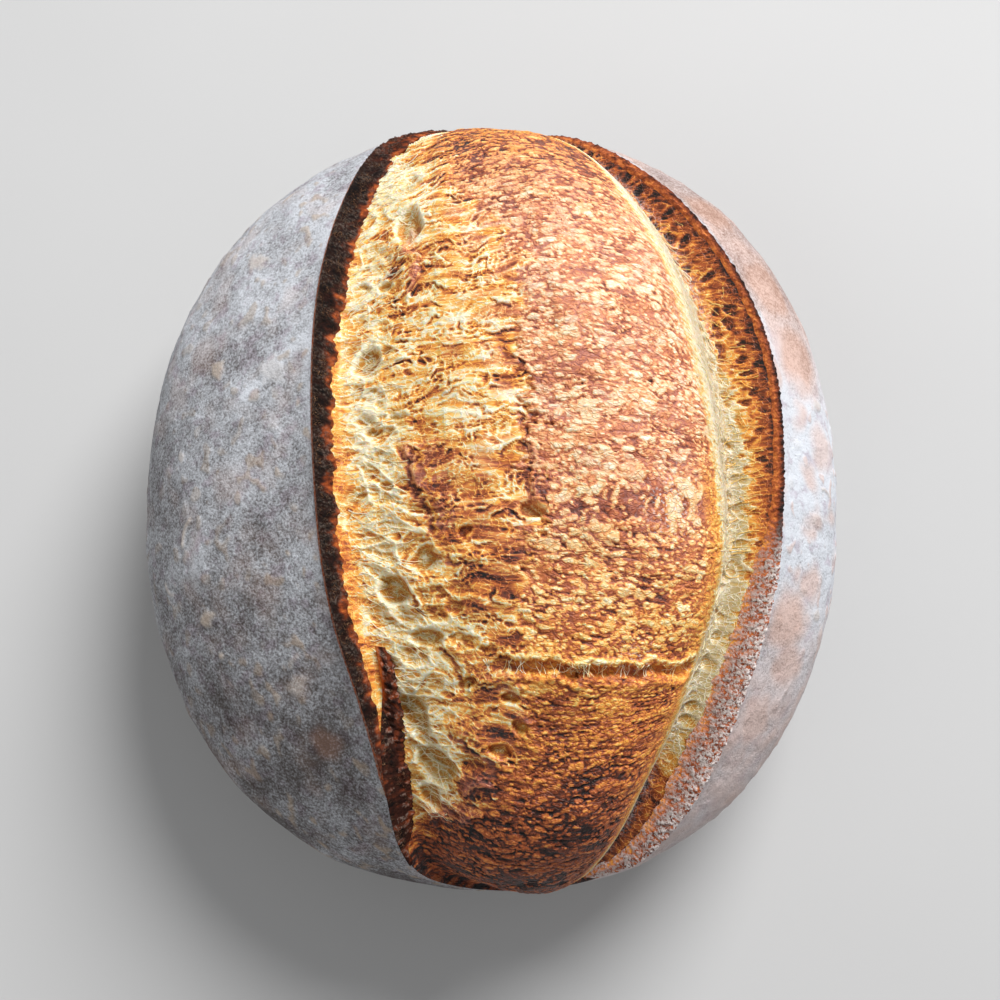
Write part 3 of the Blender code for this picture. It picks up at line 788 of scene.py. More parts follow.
# From pale to burnt, for the torn crumb and for the pinker skin over the top
bakedColours = ((0.0, (0.94, 0.88, 0.68)), (0.12, (0.94, 0.77, 0.40)), (0.24, (0.93, 0.57, 0.16)),
                (0.36, (0.86, 0.37, 0.055)), (0.48, (0.66, 0.21, 0.045)), (0.60, (0.42, 0.10, 0.025)),
                (0.74, (0.19, 0.040, 0.013)), (0.87, (0.045, 0.014, 0.009)), (1.0, (0.005, 0.004, 0.004)))
blushColours = ((0.0, (0.93, 0.80, 0.62)), (0.12, (0.90, 0.68, 0.46)), (0.24, (0.85, 0.52, 0.30)),
                (0.36, (0.79, 0.37, 0.17)), (0.48, (0.66, 0.24, 0.11)), (0.60, (0.43, 0.125, 0.065)),
                (0.74, (0.21, 0.052, 0.030)), (0.87, (0.07, 0.020, 0.014)), (1.0, (0.012, 0.008, 0.007)))


def cells(tree, scale, stretch, wander, feature="DISTANCE_TO_EDGE", output="Distance", seed=0.0):
    # irregular cells on the object's own coordinates, with wavering borders: wander is in metres
    place = addNode(tree, "ShaderNodeTexCoord", {}, {}, "Object")
    drift = addNode(tree, "ShaderNodeTexNoise", {}, {"Vector": place, "Scale": 330 + seed, "Detail": 2.0}, "Color")
    drift = addNode(tree, "ShaderNodeVectorMath", {"operation": "SCALE"}, {0: drift, "Scale": wander})
    place = addNode(tree, "ShaderNodeVectorMath", {"operation": "ADD"}, {0: place, 1: drift})
    place = addNode(tree, "ShaderNodeVectorMath", {"operation": "MULTIPLY"}, {0: place, 1: stretch})
    return addNode(tree, "ShaderNodeTexVoronoi", {"feature": feature}, {"Vector": place, "Scale": scale}, output)


def ridges(tree, scale, stretch, half, detail=2.0):
    # 1 along the lines where noise is at its middle, falling to 0 a share of half away: threads that wander
    away = noise(tree, scale, detail, 0.5, stretch) - 0.5
    return 1 - away.maths("ABSOLUTE", away).between(0.0, half)


def burstMaterial():
    # torn crumb and baked skin: the held bake picks the colour; the skin has small pale blisters with brick outlines,
    # the torn crumb has threads and little bubbles, and painted shade in its hollows turns it towards a dull olive tan
    material, tree, finish = startMaterial("tornCrumbAndSkin")
    bake, hollow, flour, pink, skin = (held(tree, name) for name in ("bake", "hollow", "flour", "pink", "skin"))
    grain = noise(tree, 1100, 3, 0.65, (0.6, 1, 1))
    cloud = noise(tree, 140, 3)
    edge = cells(tree, 430, (0.55, 1, 1), 0.0022)
    edgeSmall = cells(tree, 900, (0.62, 1, 1), 0.0012, seed=90)
    outline = 1 - edge.between(0.02, 0.14)
    outlineSmall = 1 - edgeSmall.between(0.03, 0.20)
    network = outline.maths("MAXIMUM", outline, outlineSmall * 0.62)
    threads = ridges(tree, 520, (0.22, 1, 1), 0.016)
    loops = 1 - cells(tree, 560, (0.6, 1, 1), 0.0016, seed=40).between(0.01, 0.07)
    torn = 1 - skin
    lace = threads.maths("MAXIMUM", threads, loops * 0.7)
    shift = skin * (network * 0.14 - 0.06) + torn * (0.03 - lace * 0.24) + (grain - 0.5) * 0.24 + (cloud - 0.5) * 0.08
    baked = (bake + shift).clipped()
    colour = blend(tree, ramp(tree, baked, bakedColours), ramp(tree, baked, blushColours), pink)
    # painted shade: the held hollow shade darkens the colour towards olive tan, least on the lace of threads
    colour = blend(tree, colour, (0.49, 0.42, 0.28), (hollow * (0.95 - baked * 0.6) * (1 - lace * 0.9)).clipped(), "MULTIPLY")
    colour = blend(tree, colour, (0.52, 0.21, 0.17), (pink * cloud.between(0.44, 0.62) * (0.12 + network * 0.4)).clipped())
    colour = blend(tree, colour, (0.80, 0.79, 0.79), (flour * noise(tree, 1500, 2).between(0.42, 0.60) * 0.9).clipped())
    height = skin * (1 - network) * 0.55 + torn * lace * 0.35 + grain * (0.16 + skin * 0.2)
    return finish(Base_Color=colour, Roughness=(0.30 + hollow * 0.1 + grain * 0.22 + skin * 0.08).clipped(),
                  Normal=bumped(tree, height, 0.0007, 0.8), Subsurface_Weight=0.35,
                  Subsurface_Radius=(1.0, 0.6, 0.3), Subsurface_Scale=0.0024, Specular_IOR_Level=0.42)


def flouredMaterial():
    # brown crust under flour: the held flour, which also carries painted light and shade, sets how much of it shows,
    # broken up by fine speckle
    material, tree, finish = startMaterial("flouredCrust")
    flour, brown, cream = (held(tree, name) for name in ("flour", "brown", "cream"))
    speckle = noise(tree, 1350, 3, 0.65)
    middle = noise(tree, 420, 3, 0.6)
    cover = (flour + (speckle - 0.5) * 1.15 + (middle - 0.5) * 0.5).between(0.10, 0.95)
    crust = blend(tree, (0.085, 0.072, 0.067), (0.25, 0.135, 0.092), brown)
    dusty = blend(tree, (0.62, 0.64, 0.675), (0.63, 0.44, 0.37), brown)
    colour = blend(tree, crust, dusty, cover)
    mottle = noise(tree, 190, 3, 0.6).between(0.50, 0.66) * (1 - brown)
    colour = blend(tree, colour, (0.76, 0.66, 0.70), mottle * 0.75, "MULTIPLY")
    colour = blend(tree, colour, (0.47, 0.36, 0.26), (cream * (0.3 + speckle * 0.9)).clipped())
    height = speckle * 0.6 + middle * 0.4
    return finish(Base_Color=colour, Roughness=(0.80 + speckle * 0.18).clipped(),
                  Normal=bumped(tree, height, 0.0006, 0.8), Specular_IOR_Level=0.25)


def charredMaterial():
    # the burnt lip: near black with curled tan threads and grains, reddish where the held bake is lower
    material, tree, finish = startMaterial("charredLip")
    bake, flour = held(tree, "bake"), held(tree, "flour")
    grain = noise(tree, 1300, 3, 0.65)
    coarse, fine = ridges(tree, 520, (1, 1, 1), 0.020), ridges(tree, 850, (1, 1, 1), 0.018)
    hairs = coarse.maths("MAXIMUM", coarse, fine * 0.7) * noise(tree, 240, 2).between(0.46, 0.66)
    colour = ramp(tree, (bake + (grain - 0.5) * 0.14).clipped(), bakedColours)
    colour = blend(tree, colour, (0.62, 0.33, 0.18), (hairs * bake.between(0.74, 0.98) * 0.55).clipped())
    colour = blend(tree, colour, (0.50, 0.38, 0.31), (flour * 0.6 * grain.between(0.42, 0.62)).clipped())
    return finish(Base_Color=colour, Roughness=(0.55 + grain * 0.35).clipped(),
                  Normal=bumped(tree, hairs + grain * 0.6, 0.0008, 0.9), Specular_IOR_Level=0.06)


crumbAndSkin, floured, charred = burstMaterial(), flouredMaterial(), charredMaterial()
print("materials made")

# The patches of the burst, as (name, columns, slot, sideways place of the heart)
patches = (("tornCrumb", 112, "crumb", -0.06), ("bakedSheets", 112, "crumb", 0.0), ("bakedSkin", 114, "crust", 0.06),
           ("valley", 98, "crumb", 0.26))
stops = (0.0, 0.33, 0.62, 1.0, 2.0)  # shares of the risen part, and from 1 to 2 of the valley, where a patch ends
rowStep = 0.37
columnShare = 1.0
burstTurns = turnsEvery(rowStep, burst["start"], burst["end"])
burstTurns = burstTurns if len(burstTurns) % 2 else turnsEvery(rowStep * 1.0015, burst["start"], burst["end"])


def makeBurst():
    columns = [int(count * columnShare) for _, count, _, _ in patches]
    shares = np.concatenate([np.linspace(first, last, count)[:-1] for first, last, count
                             in zip(stops, stops[1:], columns)] + [[2.0]])[None]
    left, rim, right = (line[:, None] for line in edgeLeans(burstTurns))
    leans = np.where(shares < 1, left + (rim - left) * shares, rim + (right - rim) * (shares - 1))
    turns = np.repeat(burstTurns[:, None], leans.shape[1], axis=1)
    relief = burstRelief(turns, leans)
    # thin crests are paler and narrow gaps browner than what is round them: partly the crumb's paler threads, partly
    # painted highlight on crests and painted shade in gaps; broad dips also get more painted hollow shade
    height = (relief["rise"] - formRise(turns, leans)) / mm
    thin = height - blurred(blurred(height, 1, 2), 1, 2)
    broad = height - blurred(blurred(height, 4, 4), 4, 4)
    torn = 1 - relief["skin"]
    crest = np.clip(thin / 0.16, -1, 1) * (0.35 + 0.65 * torn) + 0.5 * np.clip(broad / 0.7, -1, 1)
    relief["bake"] = np.clip(relief["bake"] - (0.10 + 0.06 * torn) * crest, 0, 1)
    relief["hollow"] = np.clip(relief["hollow"] - 0.25 * np.clip(crest, 0, 1) + 0.10 * torn * np.clip(-broad / 0.8, 0, 1), 0, 1)
    points = placed(turns, leans, relief["rise"], relief["slide"])
    normals = np.cross(np.gradient(points, axis=0), np.gradient(points, axis=1))
    normals = normals / np.maximum(np.linalg.norm(normals, axis=-1, keepdims=True), 1e-15)
    if normals[len(normals) // 2, 100, 2] < 0:
        normals = -normals
    start = 0
    for (name, _, slot, side), count in zip(patches, columns):
        part = slice(start, start + count)
        values = {key: relief[key][:, part] for key in ("bake", "hollow", "flour", "pink", "skin")}
        piece = closedPatch(name, points[:, part], normals[:, part], values, crumbAndSkin, (side, 0.0, 0.36 if side < 0.2 else 0.26))
        start += count - 1


makeBurst()
print("burst made")


# The two floured ends of the loaf
# Marks on the crust, as (turn, lean, radius, half width, from and to degrees, height, cream), in mm; radius 0 is a blot
crustMarks = ((31.2, -49, 0, 3.0, 0, 0, 0.5, 0.9), (13.2, -51, 7.5, 0.7, 130, 215, 0.45, 0.8),
              (37.2, -45.2, 0, 1.3, 0, 0, 0.4, 0.9), (31.5, -28.2, 4.5, 0.5, 110, 190, 0.3, 0.7),
              (35, -29.8, 0, 3.4, 0, 0, 0.5, 0.45), (-23, -48, 0, 3.2, 0, 0, 0.4, 0.9), (-45.8, -40.5, 0, 4.2, 0, 0, 0.4, 0.6),
              (-17, -35, 0, 5.0, 0, 0, 0.3, 0.3), (26, -58, 6, 0.6, 200, 280, 0.35, 0.6), (-6, -58, 0, 2.0, 0, 0, 0.3, 0.5),
              (43, 62, 0, 2.5, 0, 0, 0.3, 0.5), (-30, 66, 0, 3.0, 0, 0, 0.4, 0.5), (8, 68, 5, 0.6, 20, 110, 0.3, 0.6))
brownBlots = ((43.5, -24.8, 7, 0.55), (34, 52, 15, 0.9), (52, 44, 14, 0.8), (2, -44, 9, 0.25), (20, -36, 8, 0.25), (-30, -52, 9, 0.3), (46, 52, 13, 0.8),
              (30, 60, 9, 0.7), (-38, 58, 20, 1.0), (-50, 50, 20, 1.0), (-62, 38, 16, 1.0), (-14, 68, 10, 0.6), (12, 62, 6, 0.5), (60, 40, 8, 0.6))


def crustDetail(turn, lean, points, lipGap):
    # relief in mm and the held values of the floured crust; lipGap is the distance to the lip in mm
    x, y, z = np.moveaxis(points / mm, -1, 0)
    slow = rippleSum(x / 19, y / 19, z / 19 + 3.1, 100, 2)
    middle = ripple(x / 6.5, y / 6.5, z / 6.5 + 5.2, 104)
    small = ripple(x / 2.8, y / 2.8, z / 2.8 + 1.7, 108)
    fine = ripple(x / 1.5, y / 1.5, z / 1.5 + 2.3, 112)
    blister = smoothStep(ripple(x / 8, y / 8, z / 8 + 9.4, 116), 0.48, 0.85)
    calm = smoothStep(lipGap, 1, 8)
    relief = 0.50 * slow + calm * (0.20 * middle + 0.12 * small + 0.06 * fine) + 0.5 * blister * calm
    back = smoothStep(y, -60, 70)
    right = smoothStep(x, -20, 60)
    topRight, lowRight = right * smoothStep(y, 15, 65), right * (1 - smoothStep(y, -75, -25))
    lowLeftShade = (1 - right) * (1 - smoothStep(y, -90, -40))
    # more flour shows towards the back and the right and less at the lower left: partly the crust's own flour, partly
    # painted light where the window light falls and painted shade at the lower left
    flour = 0.47 + 0.18 * back + 0.26 * right + 0.16 * slow + 0.08 * middle + 0.10 * (1 - smoothStep(lipGap, 0.5, 5.5))
    flour = flour - 0.36 * topRight + 0.10 * lowRight - 0.12 * lowLeftShade + 0.10 * right * bell(y, 0, 38)
    brown = smoothStep(rippleSum(x / 13, y / 13, z / 13 + 4.4, 120, 2), 0.05, 0.75) * (0.22 + 0.45 * right)
    brown = np.maximum(brown, (0.72 + 0.3 * slow) * topRight * smoothStep(lipGap, 2, 9) + (0.55 + 0.3 * middle) * lowRight)
    spots = smoothStep(ripple(x / 3.6, y / 4.4, z / 3.6 + 6.1, 124), 0.26, 0.46) * smoothStep(slow + 0.3 * middle, -0.4, 0.1)
    brown, flour = np.maximum(brown, 0.55 * spots * right), flour - 0.06 * spots
    relief = relief + 0.22 * spots * calm
    cream = np.maximum(0.25 * blister * calm, 0.75 * spots * (1 - right) * (0.5 + 0.5 * smoothStep(x + 95, 0, 50)))
    # a smooth pale streak from the lip down the left end
    streakStart, streakEnd = (placed(np.array([t]), np.array([a]), np.zeros(1))[0] / mm for t, a in ((-22, -26), (-12, -44)))
    run = streakEnd - streakStart
    share = np.clip(((points / mm - streakStart) @ run) / (run @ run), 0, 1)
    away = np.linalg.norm(points / mm - streakStart - share[..., None] * run, axis=-1)
    streak = (1 - smoothStep(away / (1 - 0.5 * share) + 0.6 * small, 1.5, 5.0)) * (1 - smoothStep(share, 0.8, 1))
    flour, brown = flour + 0.34 * streak, brown * (1 - streak)
    relief = relief + 0.30 * streak
    top = smoothStep(z, 30, 60)
    for markTurn, markLean, size, strength in brownBlots:
        away = np.linalg.norm(points - placed(np.array([markTurn]), np.array([markLean]), np.zeros(1))[0], axis=-1) / mm
        spot = 1 - smoothStep(away + 2.5 * middle, 0.3 * size, size)
        brown = np.maximum(brown, strength * spot)
        flour = flour - 0.04 * strength * spot
    for markTurn, markLean, radius, width, start, end, height, shine in crustMarks:
        around = placed(np.array([markTurn, markTurn, markTurn + 1]), np.array([markLean, markLean + 1, markLean]),
                        np.zeros(3))
        right, front = (around[i] - around[0] for i in (1, 2))
        right, front = right / np.linalg.norm(right), front / np.linalg.norm(front)
        offset = (points - around[0]) / mm
        u, v = offset @ right, offset @ front
        away = np.hypot(u, v)
        near = np.abs(np.sum(offset * np.cross(right, front), axis=-1)) < 15
        if radius:
            angle = np.degrees(np.arctan2(-v, u)) % 360
            within = smoothStep(angle, start, start + 14) * (1 - smoothStep(angle, end - 14, end))
            mark = bell(away + 0.35 * small, radius, width) * within * near
        else:
            mark = (1 - smoothStep(away * (1 + 0.5 * small + 0.25 * fine), 0.45 * width, 1.1 * width)) * near
        relief = relief + height * mark
        cream = np.maximum(cream, shine * mark)
        flour = flour + 0.2 * mark
    under = smoothStep(z, 1.5, 9)
    flour = flour - 0.30 * (1 - under)
    return relief * (0.35 + 0.65 * top), {"flour": np.clip(flour, 0, 1), "brown": np.clip(brown, 0, 1),
                                          "cream": np.clip(cream, 0, 1)}


def crustCap(name, side, columns):
    # rings of points from one end of the loaf to its lip; rows over the top share the burst's turns, two to one
    over = burstTurns[::2]
    under = np.linspace(burst["end"], 360 + burst["start"], 62)[1:-1]
    turns = np.concatenate([over, under])
    left, _, right = edgeLeans(np.where(turns > 250, turns - 360, turns))
    edge = left if side < 0 else right
    share = 1 - (1 - np.linspace(0.004, 1, columns)) ** 1.12
    leans = side * 90 + (edge[:, None] - side * 90) * share[None]
    turns = np.repeat(turns[:, None], columns, axis=1)
    wrapped = np.where(turns > 250, turns - 360, turns)
    lipGap = np.abs(leans - edge[:, None]) * acrossPerDegree
    base = formRise(wrapped, leans)
    relief, values = crustDetail(wrapped, leans, placed(wrapped, leans, base), lipGap)
    relief = relief * smoothStep(lipGap, 0, 2.5)
    points = placed(wrapped, leans, base + relief * mm)
    pole = placed(np.array([0.0]), np.array([side * 90.0]), np.zeros(1))[0]
    piece = closedCap(name, points, pole, values, floured, (0.28 * side, 0.0, 0.30), mirrored=side > 0)
    return piece


capColumns = 186
crustCap("crustLeft", -1, capColumns)
crustCap("crustRight", 1, int(capColumns * 0.92))
print("crust made")


# The dark lips
def lipStrip(name, line, turns, across, thickness, values, material):
    # a strip along a lip: across is its places in mm beside the line, thickness its height in mm over the form
    leans = line[:, None] + across / acrossPerDegree
    turns = np.repeat(turns[:, None], across.shape[1], axis=1)
    top = placed(turns, leans, formRise(turns, leans) + thickness * mm)
    inner = np.linspace(0, across.shape[1] - 1, 5).astype(int)[1:-1]
    under = placed(turns[:, inner], leans[:, inner], formRise(turns[:, inner], leans[:, inner]) - 0.0025)
    piece = closedStrip(name, top, under, values, material)
    return piece


def charredStrip():
    # thin and grey at its outer edge, black and threaded over the crest, amber where it runs out over the crumb
    turns = turnsEvery(0.30, -90, 56)
    share = np.linspace(0, 1, 42)[None]
    q = alongMm(turns)[:, None]
    line = edgeLeans(turns)[0]
    width = curveThrough(((-90, 9), (-70, 8.0), (-50, 6.0), (-30, 4.8), (-14, 3.6), (10, 3.2), (22, 3.0), (34, 2.0), (47, 0.8), (56, 0.6)),
                         turns)[:, None]
    ragged = 1 + 0.20 * ripple(q / 6, 0.3, 0, 200) + 0.16 * ripple(q / 1.8, 0.6, 0, 201)
    across = -1.3 + (width * ragged + 1.3) * share
    p = across
    threads = np.maximum(crease(p / 1.7, q / 1.5, 204), crease(p / 2.2 + 4, q / 1.2, 206)) ** 3
    lump = rippleSum(p / 1.9, q / 1.9, 0, 208, 3)
    taper = smoothStep(turns, -90, -84)[:, None] * (1 - smoothStep(turns, 36, 56))[:, None]
    crest = smoothStep(across, -1.2, 0.2) * (1 - smoothStep(share, 0.62, 1.0))
    thickness = crest * (0.60 + 0.45 * lump + 0.45 * threads) * taper + 0.35 * taper - 0.35 * smoothStep(share, 0.93, 1) - 0.25 * (1 - taper)
    patchy = 0.30 * ripple(q / 5, p / 3.5, 0, 210) + 0.16 * ripple(q / 1.6, p / 1.3, 0, 211)
    black = 1 - smoothStep(share + patchy, 0.60, 1.02)
    bake = mixed(0.72 + 0.16 * lump, 0.98, black) + 0.03 * lump
    outer = 1 - smoothStep(across, -1.0, 0.15)
    bake = mixed(bake, 0.60, 0.8 * outer)
    bake = mixed(bake, 0.74 + 0.14 * lump, smoothStep(turns, 34, 48)[:, None] * 0.85)
    bake = mixed(bake, 0.70 + 0.22 * lump, (1 - smoothStep(turns, -72, -54))[:, None] * 0.5)
    threadShow = threads * smoothStep(ripple(p / 4, q / 5, 0, 212) + 0.45, 0, 0.6)
    values = {"bake": np.clip(bake, 0, 1), "flour": np.clip(0.35 * threadShow + 0.9 * outer, 0, 1) * np.ones(bake.shape)}
    return lipStrip("charredLip", line, turns, across, thickness, values, charred)


def secondEar():
    # the lower lip strip, thick and flaked, which starts inside the first one and ends on the front
    turns = turnsEvery(0.30, 26, 66)
    share = np.linspace(0, 1, 40)[None]
    q = alongMm(turns)[:, None]
    line = edgeLeans(turns)[0]
    start = curveThrough(((26, 6.6), (31, 5.0), (36, 2.6), (42, 0.4), (50, -0.2), (66, -0.6)), turns)[:, None]
    width = curveThrough(((26, 3.4), (29, 4.6), (34, 5.2), (42, 5.2), (52, 4.8), (58, 3.6), (62, 1.6), (66, 1.0)), turns)[:, None]
    ragged = 1 + 0.14 * ripple(q / 3, 0.4, 0, 220) + 0.12 * ripple(q / 1.2, 0.1, 0, 221)
    across = start + width * share * ragged
    lump = rippleSum(across / 1.8, q / 1.6, 0, 224, 3)
    flakes, flakesWall, own, _ = bubbles(across / 1.3, q / 1.3, 228)
    taper = smoothStep(turns, 26, 29)[:, None] * (1 - smoothStep(turns, 56, 64))[:, None]
    round_ = np.sin(math.pi * np.clip(share, 0, 1)) ** 0.6
    thickness = taper * round_ * (1.5 + 0.45 * lump + 0.5 * (own - 0.4)) - 0.5 * (1 - round_) + 0.5
    bake = 0.97 + 0.10 * lump - 0.15 * own - 0.08 * bell(share, 0.85, 0.2)
    bake = bake - 0.36 * (1 - smoothStep(turns, 31, 36))[:, None] * (1 - smoothStep(share, 0.1, 0.5))
    values = {"bake": np.clip(bake, 0, 1), "flour": np.clip((own > 0.66) * 0.55 * smoothStep(share, 0.05, 0.3), 0, 1)}
    return lipStrip("secondEar", line, turns, across, thickness, values, charred)


def rightLipStrip():
    # thin dark rim over the amber wall; on the front right a broad brown band dusted with flour
    turns = turnsEvery(0.32, -92, 84)
    share = np.linspace(0, 1, 44)[None]
    q = alongMm(turns)[:, None]
    line = edgeLeans(turns)[2]
    inside = curveThrough(((-92, 3), (-60, 2.8), (-40, 2.2), (-10, 2.0), (8, 2.4), (18, 3.6), (34, 5.0), (52, 5.4), (70, 4.4),
                           (84, 3)), turns)[:, None]
    outside = curveThrough(((-92, 1), (-40, 1.0), (-10, 0.8), (10, 1.0), (22, 1.6), (40, 2.0), (60, 1.8), (84, 1.0)),
                           turns)[:, None]
    ragged = 1 + 0.12 * ripple(q / 3.5, 0.4, 0, 240) + 0.07 * ripple(q / 1.3, 0.9, 0, 241)
    across = -inside * ragged + (inside * ragged + outside) * share
    lump = rippleSum(across / 1.7, q / 1.7, 0, 244, 3)
    crumbs, crumbsWall, own, _ = bubbles(across / 1.25, q / 1.25, 248)
    broad = smoothStep(turns, 8, 22)[:, None]
    taper = smoothStep(turns, -92, -84)[:, None] * (1 - smoothStep(turns, 74, 84))[:, None]
    crest = smoothStep(share, 0, 0.25) * (1 - smoothStep(share, 0.80, 1.0))
    inner = smoothStep(share, 0, 0.10) * (1 - smoothStep(share, 0.6, 0.95))
    thickness = (crest * (0.35 + 0.4 * broad + 0.50 * lump + 0.45 * broad * (own - 0.4)) * taper
                 + inner * (0.3 + 0.9 * broad) * taper - 0.15 * smoothStep(share, 0.93, 1))
    dark = bell(share, 0.66, 0.30) * (0.75 + 0.25 * smoothStep(ripple(q / 9, 0.3, 0, 250), -0.3, 0.3))
    bake = mixed(0.60 + 0.14 * lump, 0.94 + 0.14 * lump, dark)
    bake = mixed(bake, 0.79 + 0.16 * lump - 0.10 * own - 0.20 * (1 - smoothStep(share, 0.0, 0.22)), broad)
    back = 1 - smoothStep(turns, -62, -40)[:, None]
    bake = mixed(bake, 0.66 + 0.20 * lump, 0.7 * back)
    flour = broad * (0.45 + 0.40 * smoothStep(share, 0.0, 0.7) + 0.25 * lump) + smoothStep(share, 0.86, 0.97)
    values = {"bake": np.clip(bake, 0, 1), "flour": np.clip(flour, 0, 1) * np.ones(bake.shape)}
    return lipStrip("rightLip", line, turns, across, thickness, values, rimMaterial)


def floury():
    # brown crumbs dusted with white flour
    material, tree, finish = startMaterial("flouryRim")
    bake, flour = held(tree, "bake"), held(tree, "flour")
    grain = noise(tree, 1200, 3, 0.65)
    coarse = noise(tree, 480, 3, 0.6)
    colour = ramp(tree, (bake - 0.02 + (grain - 0.5) * 0.46 + (coarse - 0.5) * 0.34).clipped(), bakedColours)
    colour = blend(tree, colour, (0.76, 0.69, 0.66), (flour * (grain * 0.7 + coarse * 0.3).between(0.42, 0.56)).clipped())
    return finish(Base_Color=colour, Roughness=(0.6 + grain * 0.3).clipped(),
                  Normal=bumped(tree, grain * 0.5 + coarse, 0.0009, 0.9), Specular_IOR_Level=0.3)


rimMaterial = floury()
charredStrip()
secondEar()
rightLipStrip()
print("lips made")

# Strands
def turnAt(q):
    # the turn whose place along the loaf is q millimetres
    fine = np.linspace(-110, 200, 1241)
    return np.interp(q, alongMm(fine), fine)


def tubes(name, centres, outward, radii, values, material, sides=6):
    # round threads: centres is (threads, steps, 3); a ring of points round each centre, closed at both ends
    count, steps = centres.shape[:2]
    along = np.gradient(centres, axis=1)
    along = along / np.linalg.norm(along, axis=-1, keepdims=True)
    side = np.cross(along, outward)
    side = side / np.linalg.norm(side, axis=-1, keepdims=True)
    up = np.cross(side, along)
    angle = np.linspace(0, 2 * math.pi, sides, endpoint=False)
    ring = (side[:, :, None] * np.cos(angle)[None, None, :, None] + up[:, :, None] * np.sin(angle)[None, None, :, None])
    points = centres[:, :, None] + ring * radii[:, :, None, None]
    tips = centres[:, (0, -1)]
    each = steps * sides + 2
    points = np.concatenate([points.reshape(count, -1, 3), tips], axis=1).reshape(-1, 3)
    index = np.arange(steps * sides).reshape(steps, sides)
    around = np.roll(index, -1, axis=1)
    quads = np.stack([index[1:], around[1:], around[:-1], index[:-1]], axis=-1).reshape(-1, 4)
    first = np.stack([index[0], around[0], np.full(sides, steps * sides)], axis=-1)
    last = np.stack([around[-1], index[-1], np.full(sides, steps * sides + 1)], axis=-1)
    shift = np.arange(count)[:, None, None] * each
    quads = (quads[None] + shift).reshape(-1, 4)
    triangles = (np.concatenate([first, last])[None] + shift).reshape(-1, 3)
    full = {key: np.concatenate([np.repeat(value, sides, axis=1), value[:, :1], value[:, -1:]], axis=1)
            for key, value in values.items()}
    across = int(math.ceil(math.sqrt(count)))
    cellU, cellV = np.arange(count) % across, np.arange(count) // across
    u = np.concatenate([np.repeat(np.linspace(0.1, 0.9, steps), sides), [0.1, 0.9]])
    v = np.concatenate([np.tile(np.linspace(0.1, 0.9, sides), steps), [0.5, 0.5]])
    grid = np.stack([(cellU[:, None] + u[None]) / across, (cellV[:, None] + v[None]) / across], axis=-1).reshape(-1, 2)
    return meshPiece(name, points, quads, triangles, full, material, grid)


def strandPaths(chance, p, q, length, heading, bow, radius, sag):
    # threads that start and end on the surface and span what lies between: a chord from end to end, sagging as
    # sag (1 - s^2), but never under the surface
    s = np.linspace(-1, 1, 12)[None]
    half, c, d = length[:, None] / 2, np.cos(heading)[:, None], np.sin(heading)[:, None]
    bend = bow[:, None] * (1 - s**2) + 0.12 * np.sin(4.2 * s + 6 * chance.random((len(p), 1)))
    leans = (p[:, None] + half * s * c - bend * d) / acrossPerDegree
    turns = turnAt(q[:, None] + half * s * d + bend * c)
    surface = burstRelief(turns, leans)["rise"] / mm
    chord = surface[:, :1] * (1 - s) / 2 + surface[:, -1:] * (1 + s) / 2 - sag[:, None] * (1 - s**2)
    height = np.maximum(chord, surface + 0.02) + 0.10 - 0.45 * np.abs(s) ** 6
    place, out = crustCurve(turns, leans)
    centres = place + out * height[..., None] * mm
    return centres, out, radius[:, None] * mm * (0.62 + 0.75 * np.abs(s) ** 3)


def scatterStrands():
    chance = np.random.default_rng(11)
    groups = []
    # as (count, turn range, share range in the risen part or past 1 in the valley, length, heading and its spread,
    # radius, bake); lengths in mm, headings in degrees from across to along
    kinds = ((280, (-62, 40), (0.06, 0.22), (3, 8), 2, 16, 0.13, 0.0), (40, (28, 54), (0.10, 0.24), (3.0, 7), 4, 30, 0.12, 0.02),
             (150, (-50, 40), (1.05, 1.62), (3, 7), 10, 28, 0.14, 0.02),
             (60, (-50, 20), (1.60, 1.88), (2.5, 5), 8, 35, 0.14, 0.20))
    for count, turns, shares, lengths, middle, spread, radius, bake in kinds:
        turn, share = chance.uniform(*turns, count), chance.uniform(*shares, count)
        left, rim, right = edgeLeans(turn)
        lean = np.where(share < 1, left + (rim - left) * share, rim + (right - rim) * (share - 1))
        heading = np.radians(chance.normal(middle, spread, count))
        length = chance.uniform(*lengths, count)
        lean = np.maximum(lean, left + (5.5 + length / 2) / acrossPerDegree)
        lean = np.where(share > 1, np.minimum(lean, right - (3.5 + length / 2) / acrossPerDegree), lean)
        groups.append((lean * acrossPerDegree, alongMm(turn), length, heading,
                       chance.normal(0, 0.6, count), radius * chance.uniform(0.6, 1.35, count),
                       chance.uniform(0, 0.5, count), bake + chance.uniform(0, 0.10, count)))
    # threads hanging across the tear
    count = 64
    lean = chance.uniform(-1, 30, count)
    base = np.degrees(np.arcsin(np.clip(math.sin(math.radians(tear["turn"])) / np.cos(np.radians(lean)), -1, 1)))
    groups.append((lean * acrossPerDegree, alongMm(base) - 0.2, chance.uniform(2.6, 4.4, count),
                   np.radians(chance.normal(90, 30, count)), chance.normal(0, 0.4, count),
                   0.10 * chance.uniform(0.6, 1.4, count), chance.uniform(0.2, 1.2, count), chance.uniform(0.02, 0.16, count)))
    p, q, length, heading, bow, radius, sag, bake = (np.concatenate(parts) for parts in zip(*groups))
    centres, out, radii = strandPaths(chance, p, q, length, heading, bow, radius, sag)
    held = {"bake": np.repeat(bake[:, None], centres.shape[1], axis=1)}
    for key in ("hollow", "flour", "pink", "skin"):
        held[key] = np.zeros(centres.shape[:2])
    piece = tubes("crumbStrands", centres, out, radii, held, strandMaterial)


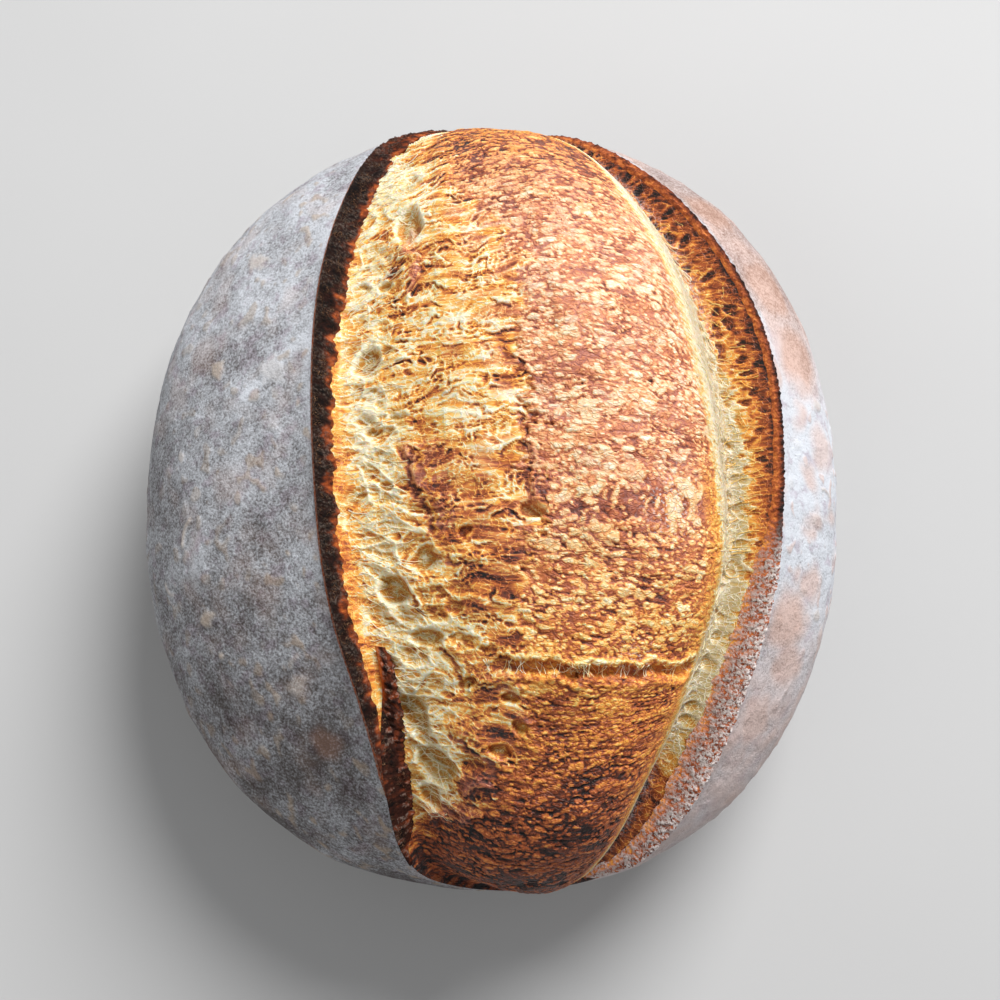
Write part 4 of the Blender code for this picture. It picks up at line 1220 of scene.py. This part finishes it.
def pullStrands():
    # pale glossy threads of stretched crumb
    material, tree, finish = startMaterial("crumbStrands")
    bake = held(tree, "bake")
    colour = ramp(tree, (bake + (noise(tree, 900, 2) - 0.5) * 0.14).clipped(), bakedColours)
    return finish(Base_Color=colour, Roughness=(0.26 + noise(tree, 700, 2) * 0.16).clipped(), Subsurface_Weight=0.3,
                  Subsurface_Radius=(1.0, 0.6, 0.3), Subsurface_Scale=0.0012)


strandMaterial = pullStrands()
scatterStrands()
print("strands made")

# The camera, the light and the floor
view = {"target": (0.0026, -0.0020, 0.052), "distance": 0.470, "elevation": 80.0, "lens": 53.5}
lamps = (("windowLight", (0.76, 1.30, 1.42), 1.20, 63.0, (0.98, 0.985, 1.0)),
         ("roomLight", (-0.60, -0.40, 0.80), 0.9, 1.4, (1.0, 0.97, 0.92)))


def placeCamera():
    target = np.array(view["target"])
    lift = math.radians(view["elevation"])
    eye = target + view["distance"] * np.array([0, -math.cos(lift), math.sin(lift)])
    camera = bpy.data.objects.new("camera", bpy.data.cameras.new("camera"))
    camera.data.lens = view["lens"]
    camera.data.sensor_width = 36
    camera.data.clip_start = 0.01
    camera.location = eye
    camera.rotation_euler = (math.pi / 2 - lift, 0, 0)
    bpy.context.scene.collection.objects.link(camera)
    bpy.context.scene.camera = camera


def placeLamps():
    for name, place, size, power, colour in lamps:
        lamp = bpy.data.lights.new(name, "AREA")
        lamp.shape, lamp.size, lamp.energy, lamp.color = "DISK", size, power, colour
        holder = bpy.data.objects.new(name, lamp)
        toward = np.array([0, 0, 0.05]) - np.array(place)
        toward = toward / np.linalg.norm(toward)
        holder.location = place
        holder.rotation_euler = (math.acos(-toward[2]), 0, math.atan2(toward[1], toward[0]) - math.pi / 2)
        bpy.context.scene.collection.objects.link(holder)
    world = bpy.data.worlds.new("room")
    world.use_nodes = True
    world.node_tree.nodes["Background"].inputs["Color"].default_value = (0.92, 0.95, 1.0, 1)
    world.node_tree.nodes["Background"].inputs["Strength"].default_value = 0.32
    bpy.context.scene.world = world


def placeFloor():
    mesh = bpy.data.meshes.new("floor")
    half = 3.0
    mesh.from_pydata([(-half, -half, 0), (half, -half, 0), (half, half, 0), (-half, half, 0)], [], [(0, 1, 2, 3)])
    material, tree, finish = startMaterial("paleFloor")
    finish(Base_Color=blend(tree, (0.50, 0.495, 0.485), (0.54, 0.535, 0.525), noise(tree, 6, 2)), Roughness=0.8)
    mesh.materials.append(material)
    floor = bpy.data.objects.new("floor", mesh)
    bpy.context.scene.collection.objects.link(floor)


placeCamera()
placeLamps()
placeFloor()
bpy.context.scene.view_settings.view_transform = "Standard"
print("camera, light and floor placed")
